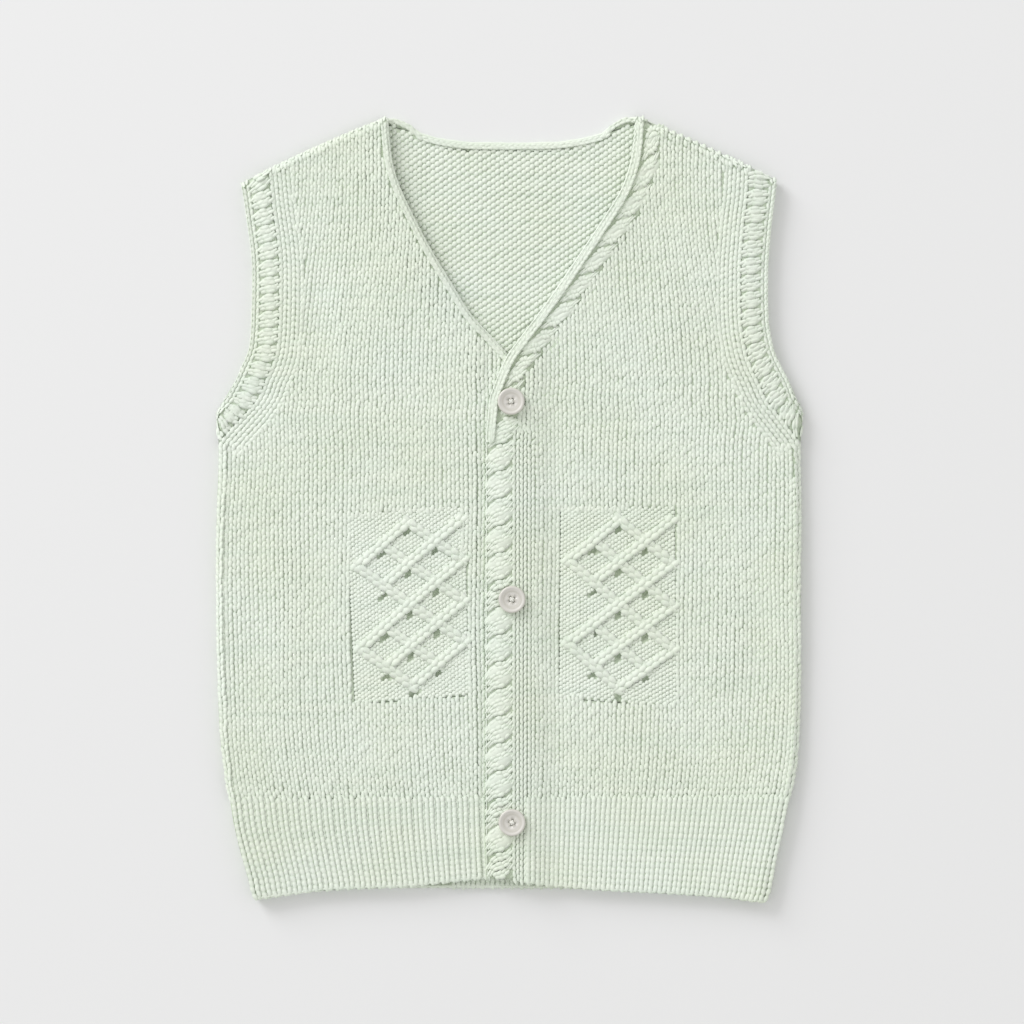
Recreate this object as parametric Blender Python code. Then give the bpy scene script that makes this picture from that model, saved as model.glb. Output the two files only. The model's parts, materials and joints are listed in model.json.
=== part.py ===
"""Knitted baby vest laid flat, seen from above: +X to the viewer's right, +Y to the neck, +Z up.

Left and right in the names are the wearer's, so the wearer's right front is at -X.
Every panel starts as a flat plan in millimetres. lay() puts a point of that plan on its
layer: the fronts rest on the back, and both turn towards each other at the side seams
and the shoulder seams. A wall is that laid surface moved out and in along its normal.
"""

import math
from collections import namedtuple

import bmesh
import bpy
from mathutils import Vector

MM = 0.001

# Driving dimensions, in millimetres.
WALL = 2.0                 # thickness of the knitted cloth
SEAM_GAP = 0.3             # space between two pieces that are sewn together
FOLD = 1.65                # radius of the cloth's middle where front and back meet
DRAPE = 0.4                # a front lies this much lower inside its seams than on them
DRAPE_REACH = 22.0         # distance over which it comes down
OVERLAP_PRESS = 0.45       # the right front is pressed down under the left one
OVERLAP_RISE = 1.95        # the left front climbs this far over the right one
OVERLAP_EDGE = (-14.0, -11.0)   # the right front goes under between these X
OVERLAP_STEP = (8.0, 22.0)      # the left front comes down between these X
OVERLAP_TOP = (72.0, 95.0)      # above these Y the fronts part
ARMHOLE_WIDTH = 12.0       # width of the edging round an armhole
ARMHOLE_CORNER = 13.5      # length of that edging's end along the side seam
NECK_WIDTH = 12.6          # width of the edging along the V
PLACKET_WIDTH = 17.0       # width of the edging down the front
BACK_NECK_WIDTH = 4.0      # width of the rolled rim at the back of the neck
RIB_TOP = -129.6           # where the ribbed hem starts
RIBS = 26                  # ribs across one front
RIB_HEIGHT = 0.9           # a rib above the groove beside it
RIB_DEPTH = 0.4            # the groove below the face of the plain cloth
CENTRE_HEM = -170.2        # bottom of the back hem at the middle
UNDERARM = 42.0
ARMHOLE_OPENS = 16.0       # above the underarm, the side fold opens over this height
HIDDEN_EDGE = 7.0          # the right front reaches this X below the left front
LOWEST_FRONT = (-173.0, -165.0)   # height of a front's bottom edge at the side seam and at the centre
ROPE_PITCH = 7.7           # armhole edging, one twist
ROPE_HEIGHT = 1.0
ROPE_LEAN = 0.4            # how far a ridge climbs from edge to edge, in twists
TWIST_PITCH = 12.5         # front edging, one twist
TWIST_HEIGHT = 0.8
TWIST_LEAN = 0.8
COVERED_TWIST = 0.7        # the right front's twists are this much of the left front's height
CABLE_HEIGHT = 1.5         # ridges of the lattice that rise to the right
CROSS_HEIGHT = 0.9         # ridges of the lattice that fall to the right
KNOT_HEIGHT = 0.5          # what a crossing adds
LATTICE_CELLS = (18, 37)   # mesh cells across and down one lattice panel
LATTICE_REPEAT = 8         # cells in one diamond
LATTICE_START = (3, 1)     # cells from the corner to the first rising and the first falling ridge
LATTICE_FLANK = 0.3        # the cells beside a ridge rise to this share of it
BUTTON_RADIUS = 6.1
BUTTON_HEIGHT = 2.6
BUTTON_HOLE = 0.75         # radius of one of its four holes
BUTTON_HOLE_OFFSET = 1.35
BUTTON_CALM = 9.0          # the edging is pressed flat within this distance of a button
SHOULDER_GAP = 0.17
CORNER_EASE = 2.3          # the gap beside a corner, which the fold closes, is wider by this share

# Sections along and across the pieces, close together at the folds.
STATIONS = 10              # sections between underarm and shoulder
END_STEPS = [0.0, 0.09, 0.19, 0.3, 0.6]   # the first of them, and mirrored the last
PLACKET_STATIONS = 16.0    # sections from the V down to the hem
RIM_STATIONS = 8           # sections of the back neck's rim
RIM_END = 0.25             # one more section this close to each end, on the shoulder's fold
EDGING_INSIDE = [0.0, 0.15, 0.35, 1.0]    # across the plain inside of an armhole edging
FRONT_COLUMNS = [0.0, 0.011, 0.026, 0.043, 0.17, 0.42, 0.7, 1.0, 1.33, 1.67, 2.0]   # 1 to 2 is the panel
BACK_SEAM_COLUMNS = [0.0, 0.009, 0.021, 0.034]
HEM_SEAM_COLUMNS = [0.0, 0.15, 0.35, 0.57, 2.0, 5.0]   # in ribs
BACK_HEM_COLUMNS = [0.0, 0.0027, 0.0063, 0.0105, 0.03, 0.1, 0.22, 0.36, 0.46]
BACK_SIDE_COLUMNS = [0.4, 2.6]
BACK_ROWS = [-112.0, -85.0, -45.0, -5.0, 20.0]         # heights of the sections below the armholes
PANEL_HEIGHTS = {"outer": (-88.0, -2.0), "centre": (-83.5, 1.5)}   # sections through its corners
GUIDE_SHARES = {1: 0.36, 2: 0.7}   # the panel's sides run up to these shares of the shoulder
RIB_CREST = (0.3, 0.7)     # the raised part of one rib
BUTTON_PROFILE = [         # radius in button radii, height in half thicknesses
    (0.0, -1.0), (0.62, -1.0), (0.9, -0.6), (1.0, 0.08), (0.97, 0.8),
    (0.86, 1.0), (0.72, 0.62), (0.5, 0.3), (0.0, 0.3),
]
BUTTON_SEGMENTS = 18

Side = namedtuple("Side", "y right_side left_side")
SIDES = [  # outer edge of the vest at each height
    Side(-176.0, -114.2, 115.3),
    Side(-172.0, -116.3, 116.9),
    Side(-166.0, -117.6, 118.2),
    Side(-156.0, -120.4, 120.2),
    Side(-143.0, -123.7, 123.1),
    Side(-131.0, -125.5, 125.5),
    Side(-126.5, -126.7, 126.9),
    Side(-113.0, -128.9, 129.1),
    Side(-99.5, -130.3, 129.9),
    Side(-72.5, -131.2, 130.8),
    Side(-41.0, -131.5, 130.9),
    Side(-5.0, -131.6, 130.8),
    Side(22.0, -130.6, 130.5),
    Side(31.0, -130.8, 130.7),
    Side(42.0, -131.4, 131.7),
    Side(47.5, -129.0, 129.8),
    Side(52.7, -125.9, 127.5),
    Side(58.0, -122.7, 125.0),
    Side(63.5, -120.3, 122.1),
    Side(69.0, -117.8, 119.5),
    Side(74.0, -116.5, 117.9),
    Side(85.0, -115.7, 116.2),
    Side(106.5, -115.4, 115.9),
    Side(116.5, -116.0, 116.5),
    Side(128.0, -117.6, 117.5),
    Side(139.0, -119.1, 118.9),
    Side(148.5, -120.6, 119.7),
]

Neck = namedtuple("Neck", "y right_front left_front")
NECK = [  # edge of each front along the V and down the middle
    Neck(-168.0, 7.0, -6.0),
    Neck(-164.0, 7.0, -9.2),
    Neck(-158.0, 7.0, -10.1),
    Neck(0.0, 7.0, -10.1),
    Neck(30.0, 7.0, -10.0),
    Neck(40.0, 7.0, -9.2),
    Neck(49.0, 7.0, -7.9),
    Neck(56.0, 7.0, -6.0),
    Neck(60.0, 5.0, -4.6),
    Neck(68.4, -0.7, -0.7),
    Neck(77.0, -8.4, 5.5),
    Neck(87.0, -17.6, 13.0),
    Neck(100.0, -25.8, 22.3),
    Neck(116.5, -35.8, 33.4),
    Neck(130.0, -42.9, 42.4),
    Neck(143.5, -49.3, 50.6),
    Neck(155.0, -52.9, 54.6),
    Neck(165.0, -54.3, 56.2),
    Neck(177.0, -55.2, 57.0),
]

Rim = namedtuple("Rim", "x y")
BACK_NECK = [  # edge of the back at the neck
    Rim(-55.2, 175.7),
    Rim(-50.0, 173.6),
    Rim(-45.0, 171.0),
    Rim(-35.8, 167.4),
    Rim(-24.0, 165.2),
    Rim(-13.0, 164.5),
    Rim(8.0, 164.5),
    Rim(24.5, 165.2),
    Rim(40.0, 168.2),
    Rim(46.5, 171.5),
    Rim(52.0, 174.6),
    Rim(56.9, 176.3),
]
FRONT_HEM = [  # bottom edge of the fronts
    Rim(-114.0, -175.0),
    Rim(-111.0, -174.7),
    Rim(-94.0, -172.4),
    Rim(-78.0, -170.8),
    Rim(-49.0, -169.6),
    Rim(-27.0, -167.4),
    Rim(-9.0, -165.7),
    Rim(0.0, -166.1),
    Rim(14.0, -168.6),
    Rim(41.0, -171.0),
    Rim(68.0, -172.4),
    Rim(95.0, -174.2),
    Rim(112.0, -176.3),
    Rim(115.0, -176.4),
]

Shoulder = namedtuple("Shoulder", "tip_x tip_y neck_x neck_y bulge")
SHOULDERS = {
    -1: Shoulder(-120.4, 146.4, -55.2, 175.9, 1.2),
    1: Shoulder(119.7, 147.9, 57.0, 176.4, 0.6),
}

Crease = namedtuple("Crease", "x y_from y_to half_width lift")
CREASES = [  # soft troughs and swells of the fronts
    Crease(-84.0, 40.0, 140.0, 11.0, -0.55),
    Crease(-100.0, 55.0, 125.0, 9.0, 0.35),
    Crease(-55.0, 60.0, 150.0, 16.0, 0.3),
    Crease(74.0, 50.0, 130.0, 14.0, 0.35),
    Crease(95.0, 45.0, 110.0, 8.0, -0.3),
    Crease(24.0, -95.0, 10.0, 7.0, -0.3),
    Crease(-98.0, -110.0, 10.0, 14.0, 0.3),
    Crease(102.0, -100.0, 0.0, 15.0, 0.35),
    Crease(-45.0, -120.0, 20.0, 18.0, 0.25),
]
NECK_LIFT = 0.8            # the V's edges stand this much off the back
NECK_LIFT_REACH = 26.0

Panel = namedtuple("Panel", "name outer_top inner_top outer_bottom inner_bottom")
PANELS = {  # corners of the lattice panels, outer towards the side seam
    -1: Panel("right_lattice_panel", (-73.1, -2.7), (-20.5, 0.9), (-69.5, -87.6), (-18.4, -83.7)),
    1: Panel("left_lattice_panel", (74.0, 0.4), (23.0, 0.4), (74.9, -88.9), (22.3, -84.8)),
}

Button = namedtuple("Button", "name x y")
BUTTONS = [
    Button("button_top", 0.7, 48.2),
    Button("button_middle", 1.1, -40.5),
    Button("button_bottom", 1.1, -140.4),
]

MINT = (0.69, 0.76, 0.66)
MINT_HEM = (0.66, 0.73, 0.62)
PEARL = (0.62, 0.63, 0.57)

SEAM_HEIGHT = WALL / 2 + FOLD          # middle of the side and shoulder seams
FOLD_ARC = FOLD * math.pi / 2          # cloth used up by one quarter turn
FRONT_NAME = {-1: "right_front", 1: "left_front"}
SIDE_NAME = {-1: "right_side", 1: "left_side"}


# ---- curves and heights

def ease(value):
    """Smooth step from 0 to 1."""
    value = min(max(value, 0.0), 1.0)
    return value * value * (3.0 - 2.0 * value)


def read_curve(table, along, column, at):
    """Value of a column of an outline table, on a smooth curve through its rows."""
    spots = [getattr(row, along) for row in table]
    values = [getattr(row, column) for row in table]
    at = min(max(at, spots[0]), spots[-1])
    k = 0
    while k < len(spots) - 2 and at > spots[k + 1]:
        k += 1

    def slope(i):
        low = max(i - 1, 0)
        high = min(i + 1, len(spots) - 1)
        return (values[high] - values[low]) / (spots[high] - spots[low])

    span = spots[k + 1] - spots[k]
    t = (at - spots[k]) / span
    rise = values[k + 1] - values[k]
    bend_a = slope(k) * span - rise
    bend_b = rise - slope(k + 1) * span
    return values[k] + t * rise + t * (1 - t) * ((1 - t) * bend_a + t * bend_b)


def side_x(side, y):
    return read_curve(SIDES, "y", SIDE_NAME[side], y)


def neck_x(side, y):
    return read_curve(NECK, "y", FRONT_NAME[side], y)


def shoulder_y(side, x):
    """Height of the shoulder seam, straight but for a small bulge."""
    line = SHOULDERS[side]
    t = (x - line.tip_x) / (line.neck_x - line.tip_x)
    arch = max(4.0 * t * (1.0 - t), -0.5) * line.bulge
    return line.tip_y + t * (line.neck_y - line.tip_y) + arch


def front_hem_y(x):
    return read_curve(FRONT_HEM, "x", "y", x)


def back_hem_y(x):
    return min(front_hem_y(x) + SEAM_GAP, CENTRE_HEM)


def button_calm(x, y):
    """0 beside a button, 1 away from it."""
    calm = 1.0
    for button in BUTTONS:
        distance = math.hypot(x - button.x, y - button.y)
        calm = min(calm, ease((distance - BUTTON_RADIUS) / (BUTTON_CALM - BUTTON_RADIUS)))
    return calm


def crease_lift(x, y):
    total = 0.0
    for crease in CREASES:
        across = (x - crease.x) / crease.half_width
        middle = (crease.y_from + crease.y_to) / 2
        length = (crease.y_to - crease.y_from) / 2
        along = (y - middle) / length
        if abs(across) < 1.0 and abs(along) < 1.0:
            total += crease.lift * (1 - across * across) ** 2 * (1 - along * along) ** 2
    return total


def front_height(layer, x, y, near_seam):
    """Middle of a front above the surface that the vest lies on, away from its folds."""
    height = SEAM_HEIGHT + FOLD - DRAPE * (1.0 - near_seam)
    height += crease_lift(x, y) * (1.0 - near_seam)
    from_edge = abs(x - neck_x(layer, y))
    above = ease((y - 80.0) / 40.0)
    height += NECK_LIFT * above * (1.0 - ease(from_edge / NECK_LIFT_REACH)) * (1.0 - near_seam)
    apart = 1.0 - ease((y - OVERLAP_TOP[0]) / (OVERLAP_TOP[1] - OVERLAP_TOP[0]))
    if layer < 0:
        start, end = OVERLAP_EDGE
        return height - OVERLAP_PRESS * apart * ease((x - start) / (end - start))
    start, end = OVERLAP_STEP
    return height + OVERLAP_RISE * apart * (1.0 - ease((x - start) / (end - start)))


def lay(layer, x, y):
    """Middle of the cloth over the plan point (x, y). layer: -1, 1 a front, 0 the back."""
    side = layer or (1 if x > 0 else -1)
    edge = abs(side_x(side, y))
    inside = edge - side * x
    start = ease((y - UNDERARM) / ARMHOLE_OPENS) * math.pi / 2
    centre = edge - (FOLD + WALL / 2) * math.cos(start)
    side_turn = min(start + inside / FOLD, math.pi / 2)
    past = max(inside - FOLD * (math.pi / 2 - start), 0.0)
    flat_x = side * (centre + FOLD * math.cos(side_turn) - past)

    line = SHOULDERS[side]
    slope = math.atan2(line.neck_y - line.tip_y, abs(line.neck_x - line.tip_x))
    below = (shoulder_y(side, x) - y) * math.cos(slope)
    top_turn = min(below / FOLD, math.pi / 2)
    inset = FOLD + WALL / 2 - FOLD * math.cos(top_turn) + max(below - FOLD_ARC, 0.0)
    shift = below - inset
    flat_x += side * math.sin(slope) * shift
    flat_y = y + math.cos(slope) * shift

    drop = FOLD * (1 - math.sin(side_turn)) + FOLD * (1 - math.sin(top_turn))
    if layer == 0:
        return Vector((flat_x, flat_y, SEAM_HEIGHT - FOLD + drop))
    near_side = 1.0 - ease((inside - FOLD_ARC) / DRAPE_REACH)
    near_top = 1.0 - ease((below - FOLD_ARC) / DRAPE_REACH)
    near_seam = 1.0 - (1.0 - near_side) * (1.0 - near_top)
    return Vector((flat_x, flat_y, front_height(layer, x, y, near_seam) - drop))


def off_surface(layer, x, y, offset):
    """Point over (x, y), moved along the cloth's normal, which points up or out."""
    step = 0.05
    across = lay(layer, x + step, y) - lay(layer, x - step, y)
    along = lay(layer, x, y + step) - lay(layer, x, y - step)
    return lay(layer, x, y) + across.cross(along).normalized() * offset


# ---- meshes

def new_object(name, bm, colour, roughness):
    """Ends a mesh: outward faces, metres, its own material."""
    bmesh.ops.recalc_face_normals(bm, faces=bm.faces)
    bmesh.ops.scale(bm, vec=(MM, MM, MM), verts=bm.verts)
    mesh = bpy.data.meshes.new(name)
    bm.to_mesh(mesh)
    bm.free()
    mesh.shade_smooth()
    material = bpy.data.materials.new(name)
    material.use_nodes = True
    shader = material.node_tree.nodes["Principled BSDF"]
    shader.inputs["Base Color"].default_value = (*colour, 1.0)
    shader.inputs["Roughness"].default_value = roughness
    shader.inputs["Metallic"].default_value = 0.0
    mesh.materials.append(material)
    obj = bpy.data.objects.new(name, mesh)
    bpy.context.scene.collection.objects.link(obj)
    return obj


def fill_grid(bm, verts, heights, is_open):
    """Triangles between rows of vertices, split along the higher diagonal."""
    for r in range(len(verts) - 1):
        for c in range(len(verts[0]) - 1):
            if is_open(r, c):
                continue
            corner = [(r, c), (r, c + 1), (r + 1, c + 1), (r + 1, c)]
            a, b, d, e = [verts[i][j] for i, j in corner]
            ha, hb, hd, he = [heights[i][j] for i, j in corner]
            if ha + hd >= hb + he:
                bm.faces.new((a, b, d))
                bm.faces.new((a, d, e))
            else:
                bm.faces.new((a, b, e))
                bm.faces.new((b, d, e))


def join_rows(bm, first, second, first_at, second_at):
    """Triangles between two rows of vertices that run the same way at their own stations."""
    i = j = 0
    while i < len(first) - 1 or j < len(second) - 1:
        first_next = j == len(second) - 1
        if i < len(first) - 1 and not first_next:
            first_next = first_at[i + 1] <= second_at[j + 1]
        if first_next:
            bm.faces.new((first[i], first[i + 1], second[j]))
            i += 1
        else:
            bm.faces.new((first[i], second[j + 1], second[j]))
            j += 1


def add_points(bm, layer, plan, rows, cols, offset):
    """Grid of vertices over plan(row, col), offset(row, col) off the laid surface."""
    verts = []
    heights = []
    for r in rows:
        offsets = [offset(r, c) for c in cols]
        heights.append(offsets)
        verts.append([bm.verts.new(off_surface(layer, *plan(r, c), off))
                      for c, off in zip(cols, offsets)])
    return verts, heights


def relief_wall(name, layer, plan, fine, plain, relief, colour=MINT):
    """Wall with relief on its outer face and a plain inner face on stations of its own."""
    bm = bmesh.new()
    outer, heights = add_points(bm, layer, plan, *fine, lambda r, c: WALL / 2 + relief(r, c))
    inner, flat = add_points(bm, layer, plan, *plain, lambda r, c: -WALL / 2)
    fill_grid(bm, outer, heights, lambda r, c: False)
    fill_grid(bm, inner, flat, lambda r, c: False)
    (rows, cols), (plain_rows, plain_cols) = fine, plain
    join_rows(bm, outer[0], inner[0], cols, plain_cols)
    join_rows(bm, outer[-1], inner[-1], cols, plain_cols)
    for end in (0, -1):
        join_rows(bm, [row[end] for row in outer], [row[end] for row in inner], rows, plain_rows)
    return new_object(name, bm, colour, 0.9)


def plain_wall(name, layer, plan, rows, cols, is_open=lambda r, c: False, colour=MINT):
    """Wall with the same stations on both faces, which may leave cells open."""
    bm = bmesh.new()
    outer, heights = add_points(bm, layer, plan, rows, cols, lambda r, c: WALL / 2)
    inner, _ = add_points(bm, layer, plan, rows, cols, lambda r, c: -WALL / 2)
    twin = {a: b for up, down in zip(outer, inner) for a, b in zip(up, down)}
    fill_grid(bm, outer, heights, is_open)
    rim = [edge for edge in bm.edges if edge.is_boundary]
    fill_grid(bm, inner, heights, is_open)
    for edge in rim:
        a, b = edge.verts
        bm.faces.new((a, b, twin[b], twin[a]))
    loose = [vert for vert in bm.verts if not vert.link_faces]
    bmesh.ops.delete(bm, geom=loose, context="VERTS")
    return new_object(name, bm, colour, 0.9)


def mix(a, b, t):
    return tuple(p + (q - p) * t for p, q in zip(a, b))


def spread(start, end, count):
    return [start + (end - start) * k / count for k in range(count + 1)]


# ---- edging strips: one long edge free, the other on a panel

class Strip:
    """Strip along a free edge, whose inner edge is a polyline on whole stations."""

    def __init__(self, edge_x, inward, low_y, high_y, low_arm, width, high_arm, blend):
        self.edge_x = edge_x
        self.inward = inward
        self.low_y = low_y
        self.high_y = high_y
        self.low_arm = low_arm
        self.high_arm = high_arm
        self.width = width
        self.blend = blend

    def outer(self, k):
        y = self.low_y + (self.high_y - self.low_y) * k / STATIONS
        return (self.edge_x(y), y)

    def arm(self, k):
        """From the free edge to the inner edge: square to the edge, but along its end seams."""
        x, y = self.outer(k)
        lean = (self.edge_x(y + 2.0) - self.edge_x(y - 2.0)) / 4.0
        length = math.hypot(1.0, lean)
        square = (self.inward * self.width / length, -self.inward * lean * self.width / length)
        low = 1.0 - ease((y - self.low_y) / self.blend)
        high = 1.0 - ease((self.high_y - y) / self.blend)
        return mix(mix(square, self.low_arm, low), self.high_arm, high)

    def inner(self, k, extra=0.0):
        """Inner edge, or a line that much further in and more than that beside the corner."""
        base = min(int(k), STATIONS - 1)
        ends = []
        for station in (base, base + 1):
            x, y = self.outer(station)
            arm_x, arm_y = self.arm(station)
            corner = 1.0 - ease((y - self.low_y) / (2.0 * self.blend))
            away = extra * (1.0 + CORNER_EASE * corner)
            stretch = 1.0 + away / math.hypot(arm_x, arm_y)
            ends.append((x + arm_x * stretch, y + arm_y * stretch))
        return mix(ends[0], ends[1], k - base)

    def plan(self, k, across):
        return mix(self.outer(k), self.inner(k), across)


def shoulder_arm(side, x, y, inward, width):
    """From a free edge's upper end along the shoulder seam."""
    return (inward * width, shoulder_y(side, x + inward * width) - SHOULDER_GAP - y)


def armhole_strip(side):
    inward = -side
    low_x = side_x(side, UNDERARM)
    corner = UNDERARM - ARMHOLE_CORNER
    low_arm = (side_x(side, corner) - low_x, -ARMHOLE_CORNER)
    tip = SHOULDERS[side]
    high_y = tip.tip_y - SHOULDER_GAP
    high_x = side_x(side, high_y)
    high_arm = shoulder_arm(side, high_x, high_y, inward, ARMHOLE_WIDTH)

    def edge_x(y):
        seam = SEAM_GAP / 2 * (1.0 - ease((y - UNDERARM) / 1.0))
        return side_x(side, y) - side * seam

    return Strip(edge_x, inward, UNDERARM, high_y, low_arm, ARMHOLE_WIDTH, high_arm, 12.0)


def neck_strip(side):
    high_y = SHOULDERS[side].neck_y - SHOULDER_GAP
    high_x = neck_x(side, high_y)
    high_arm = shoulder_arm(side, high_x, high_y, side, NECK_WIDTH)
    if side < 0:
        low_y, low_arm, blend = 56.0, (0.0, -19.4), 14.0
    else:
        low_y, low_arm, blend = 30.0, (PLACKET_WIDTH, 0.0), 34.0
    return Strip(lambda y: neck_x(side, y), side, low_y, high_y, low_arm, NECK_WIDTH, high_arm, blend)


ARMHOLES = {side: armhole_strip(side) for side in (-1, 1)}
NECKS = {side: neck_strip(side) for side in (-1, 1)}


def upper_stations(step):
    """Stations from the underarm to the shoulder, close together at both folds."""
    middle = spread(1.0, STATIONS - 1.0, round((STATIONS - 2) / step))
    return END_STEPS + middle + [STATIONS - s for s in reversed(END_STEPS)]


def rope(phase, across, height):
    """Slanting ridges of a twisted edging, level at the strip's two long edges."""
    wave = 0.5 + 0.5 * math.cos(2 * math.pi * phase)
    return height * (0.25 + 0.75 * wave) * ease(across / 0.22) * ease((1.0 - across) / 0.22)


def make_armhole_edging(side):
    strip = ARMHOLES[side]
    name = "right" if side < 0 else "left"
    length = (strip.high_y - strip.low_y) * 1.05
    per_station = length / STATIONS / ROPE_PITCH

    def relief(k, across):
        fade = ease(k / 0.8) * ease((STATIONS - k) / 0.5)
        return fade * rope(k * per_station + side * across * ROPE_LEAN, across, ROPE_HEIGHT)

    fine = (upper_stations(0.23), spread(0.0, 1.0, 6))
    plain = (upper_stations(1.0), EDGING_INSIDE)
    relief_wall(f"{name}_armhole_edging_front", side, strip.plan, fine, plain, relief)
    plain_wall(f"{name}_armhole_edging_back", 0, strip.plan, *plain)


def make_right_neck_edging():
    strip = NECKS[-1]
    per_station = (strip.high_y - strip.low_y) * 1.2 / STATIONS / ROPE_PITCH

    def relief(k, across):
        fade = ease((k - 1.0) / 0.8) * ease((STATIONS - k) / 0.5)
        height = COVERED_TWIST * TWIST_HEIGHT
        return fade * rope(k * per_station + across * TWIST_LEAN, across, height)

    fine = (upper_stations(0.25), spread(0.0, 1.0, 5))
    plain = (upper_stations(1.0), [0.0, 0.5, 1.0])
    relief_wall("right_neck_edging", -1, strip.plan, fine, plain, relief)


def placket_plan(k, across):
    """Plan of the left front's edging: stations below 0 run down to the hem."""
    strip = NECKS[1]
    if k >= 0.0:
        return strip.plan(k, across)
    share = -k / PLACKET_STATIONS
    x_in = neck_x(1, strip.low_y) + PLACKET_WIDTH
    low = front_hem_y(neck_x(1, LOWEST_FRONT[1]))
    y = strip.low_y + (low - strip.low_y) * share
    x = mix((neck_x(1, y),), (x_in,), across)[0]
    return (x, strip.low_y + (front_hem_y(x) - strip.low_y) * share)


def make_left_front_edging():
    strip = NECKS[1]
    upper_pitch = (strip.high_y - strip.low_y) * 1.2 / STATIONS / TWIST_PITCH
    lower_pitch = (strip.low_y - CENTRE_HEM) / PLACKET_STATIONS / TWIST_PITCH

    def relief(k, across):
        x, y = placket_plan(k, across)
        turns = k * (upper_pitch if k > 0 else lower_pitch)
        fade = ease((STATIONS - k) / 0.5) * ease((k + PLACKET_STATIONS) / 0.4)
        return fade * button_calm(x, y) * rope(turns - across * TWIST_LEAN, across, TWIST_HEIGHT)

    low = [-PLACKET_STATIONS + k for k in (0.0, 0.15, 0.4)]
    fine = low + spread(-PLACKET_STATIONS + 0.7, 0.0, 46) + upper_stations(0.28)[1:]
    coarse = low + spread(-PLACKET_STATIONS + 1.0, 0.0, 11) + upper_stations(1.0)[1:]
    relief_wall("left_front_edging", 1, placket_plan, (fine, spread(0.0, 1.0, 5)),
                (coarse, [0.0, 0.5, 1.0]), relief)


# ---- back neck rim

def back_neck_outer(k):
    x = BACK_NECK[0].x + (BACK_NECK[-1].x - BACK_NECK[0].x) * k / RIM_STATIONS
    return (x, read_curve(BACK_NECK, "x", "y", x))


def back_neck_inner(k):
    """Inner edge of the rim at a whole station; its two ends lie on the shoulder seams."""
    x, y = back_neck_outer(k)
    ends = []
    for side in (-1, 1):
        arm_x = side * BACK_NECK_WIDTH
        ends.append((arm_x, shoulder_y(side, x + arm_x) - SHOULDER_GAP - y))
    arm = mix((0.0, -BACK_NECK_WIDTH), ends[0], 1.0 - ease(k / 1.5))
    arm = mix(arm, ends[1], 1.0 - ease((RIM_STATIONS - k) / 1.5))
    return (x + arm[0], y + arm[1])


def back_neck_plan(k, across):
    """k runs from the right shoulder to the left one, across from the free edge in."""
    base = min(int(k), RIM_STATIONS - 1)
    inner = mix(back_neck_inner(base), back_neck_inner(base + 1), k - base)
    return mix(back_neck_outer(k), inner, across)


def make_back_neck_edging():
    stations = spread(0.0, RIM_STATIONS, 2 * RIM_STATIONS) + [RIM_END, RIM_STATIONS - RIM_END]
    stations.sort()
    relief_wall("back_neck_edging", 0, back_neck_plan, (stations, [0.0, 0.5, 1.0]),
                (stations, [0.0, 1.0]), lambda k, across: 0.0)


# ---- panels

def panel_corner(side, name, away):
    """Corner of a lattice panel, moved out by `away` into the front around it."""
    x, y = getattr(PANELS[side], name)
    right = 1 if (name.startswith("outer")) == (side > 0) else -1
    up = 1 if name.endswith("top") else -1
    return (x + right * away, y + up * away)


def front_guides(side):
    """Sections of a front. Each has four named points: side, outer, inner and centre."""
    gap = SEAM_GAP / 2
    corner_y = ARMHOLES[-1].inner(0, SEAM_GAP)[1]

    def seam(y):
        return (side_x(side, y) - side * gap, y)

    def centre(y):
        if side < 0:
            return (HIDDEN_EDGE, y)
        return (neck_x(1, 0.0) + PLACKET_WIDTH + SEAM_GAP, y)

    rib = RIB_TOP + gap
    outer_low, outer_high = PANEL_HEIGHTS["outer"]
    centre_low, centre_high = PANEL_HEIGHTS["centre"]
    top_centre = NECKS[side].inner(0, SEAM_GAP)
    bottom = [panel_corner(side, "outer_bottom", gap), panel_corner(side, "inner_bottom", gap)]
    top = [panel_corner(side, "outer_top", gap), panel_corner(side, "inner_top", gap)]
    return [
        (seam(rib), (bottom[0][0], rib), (bottom[1][0], rib), centre(rib)),
        (seam(outer_low), bottom[0], bottom[1], centre(centre_low)),
        (seam(outer_high), top[0], top[1], centre(centre_high)),
        (seam(corner_y), (top[0][0], corner_y), (top[1][0], corner_y + 1.0), top_centre),
    ]


def front_section(side, guides, v):
    """The four points of the section at v: 0 rib, 1 and 2 panel, 3 underarm, 4 shoulder."""
    if v <= 3.0:
        k = min(int(v), 2)
        points = [mix(a, b, v - k) for a, b in zip(guides[k], guides[k + 1])]
        y = points[0][1]
        points[0] = (side_x(side, y) - side * SEAM_GAP / 2, y)
        return points
    share = v - 3.0
    k = share * STATIONS
    edge = ARMHOLES[side].inner(k, SEAM_GAP)
    centre = NECKS[side].inner(k, SEAM_GAP)
    top_side = ARMHOLES[side].inner(STATIONS, SEAM_GAP)
    top_centre = NECKS[side].inner(STATIONS, SEAM_GAP)
    points = [edge]
    for index, part in GUIDE_SHARES.items():
        x = top_side[0] + (top_centre[0] - top_side[0]) * part
        points.append(mix(guides[3][index], (x, shoulder_y(side, x) - SHOULDER_GAP), share))
    return points + [centre]


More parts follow.
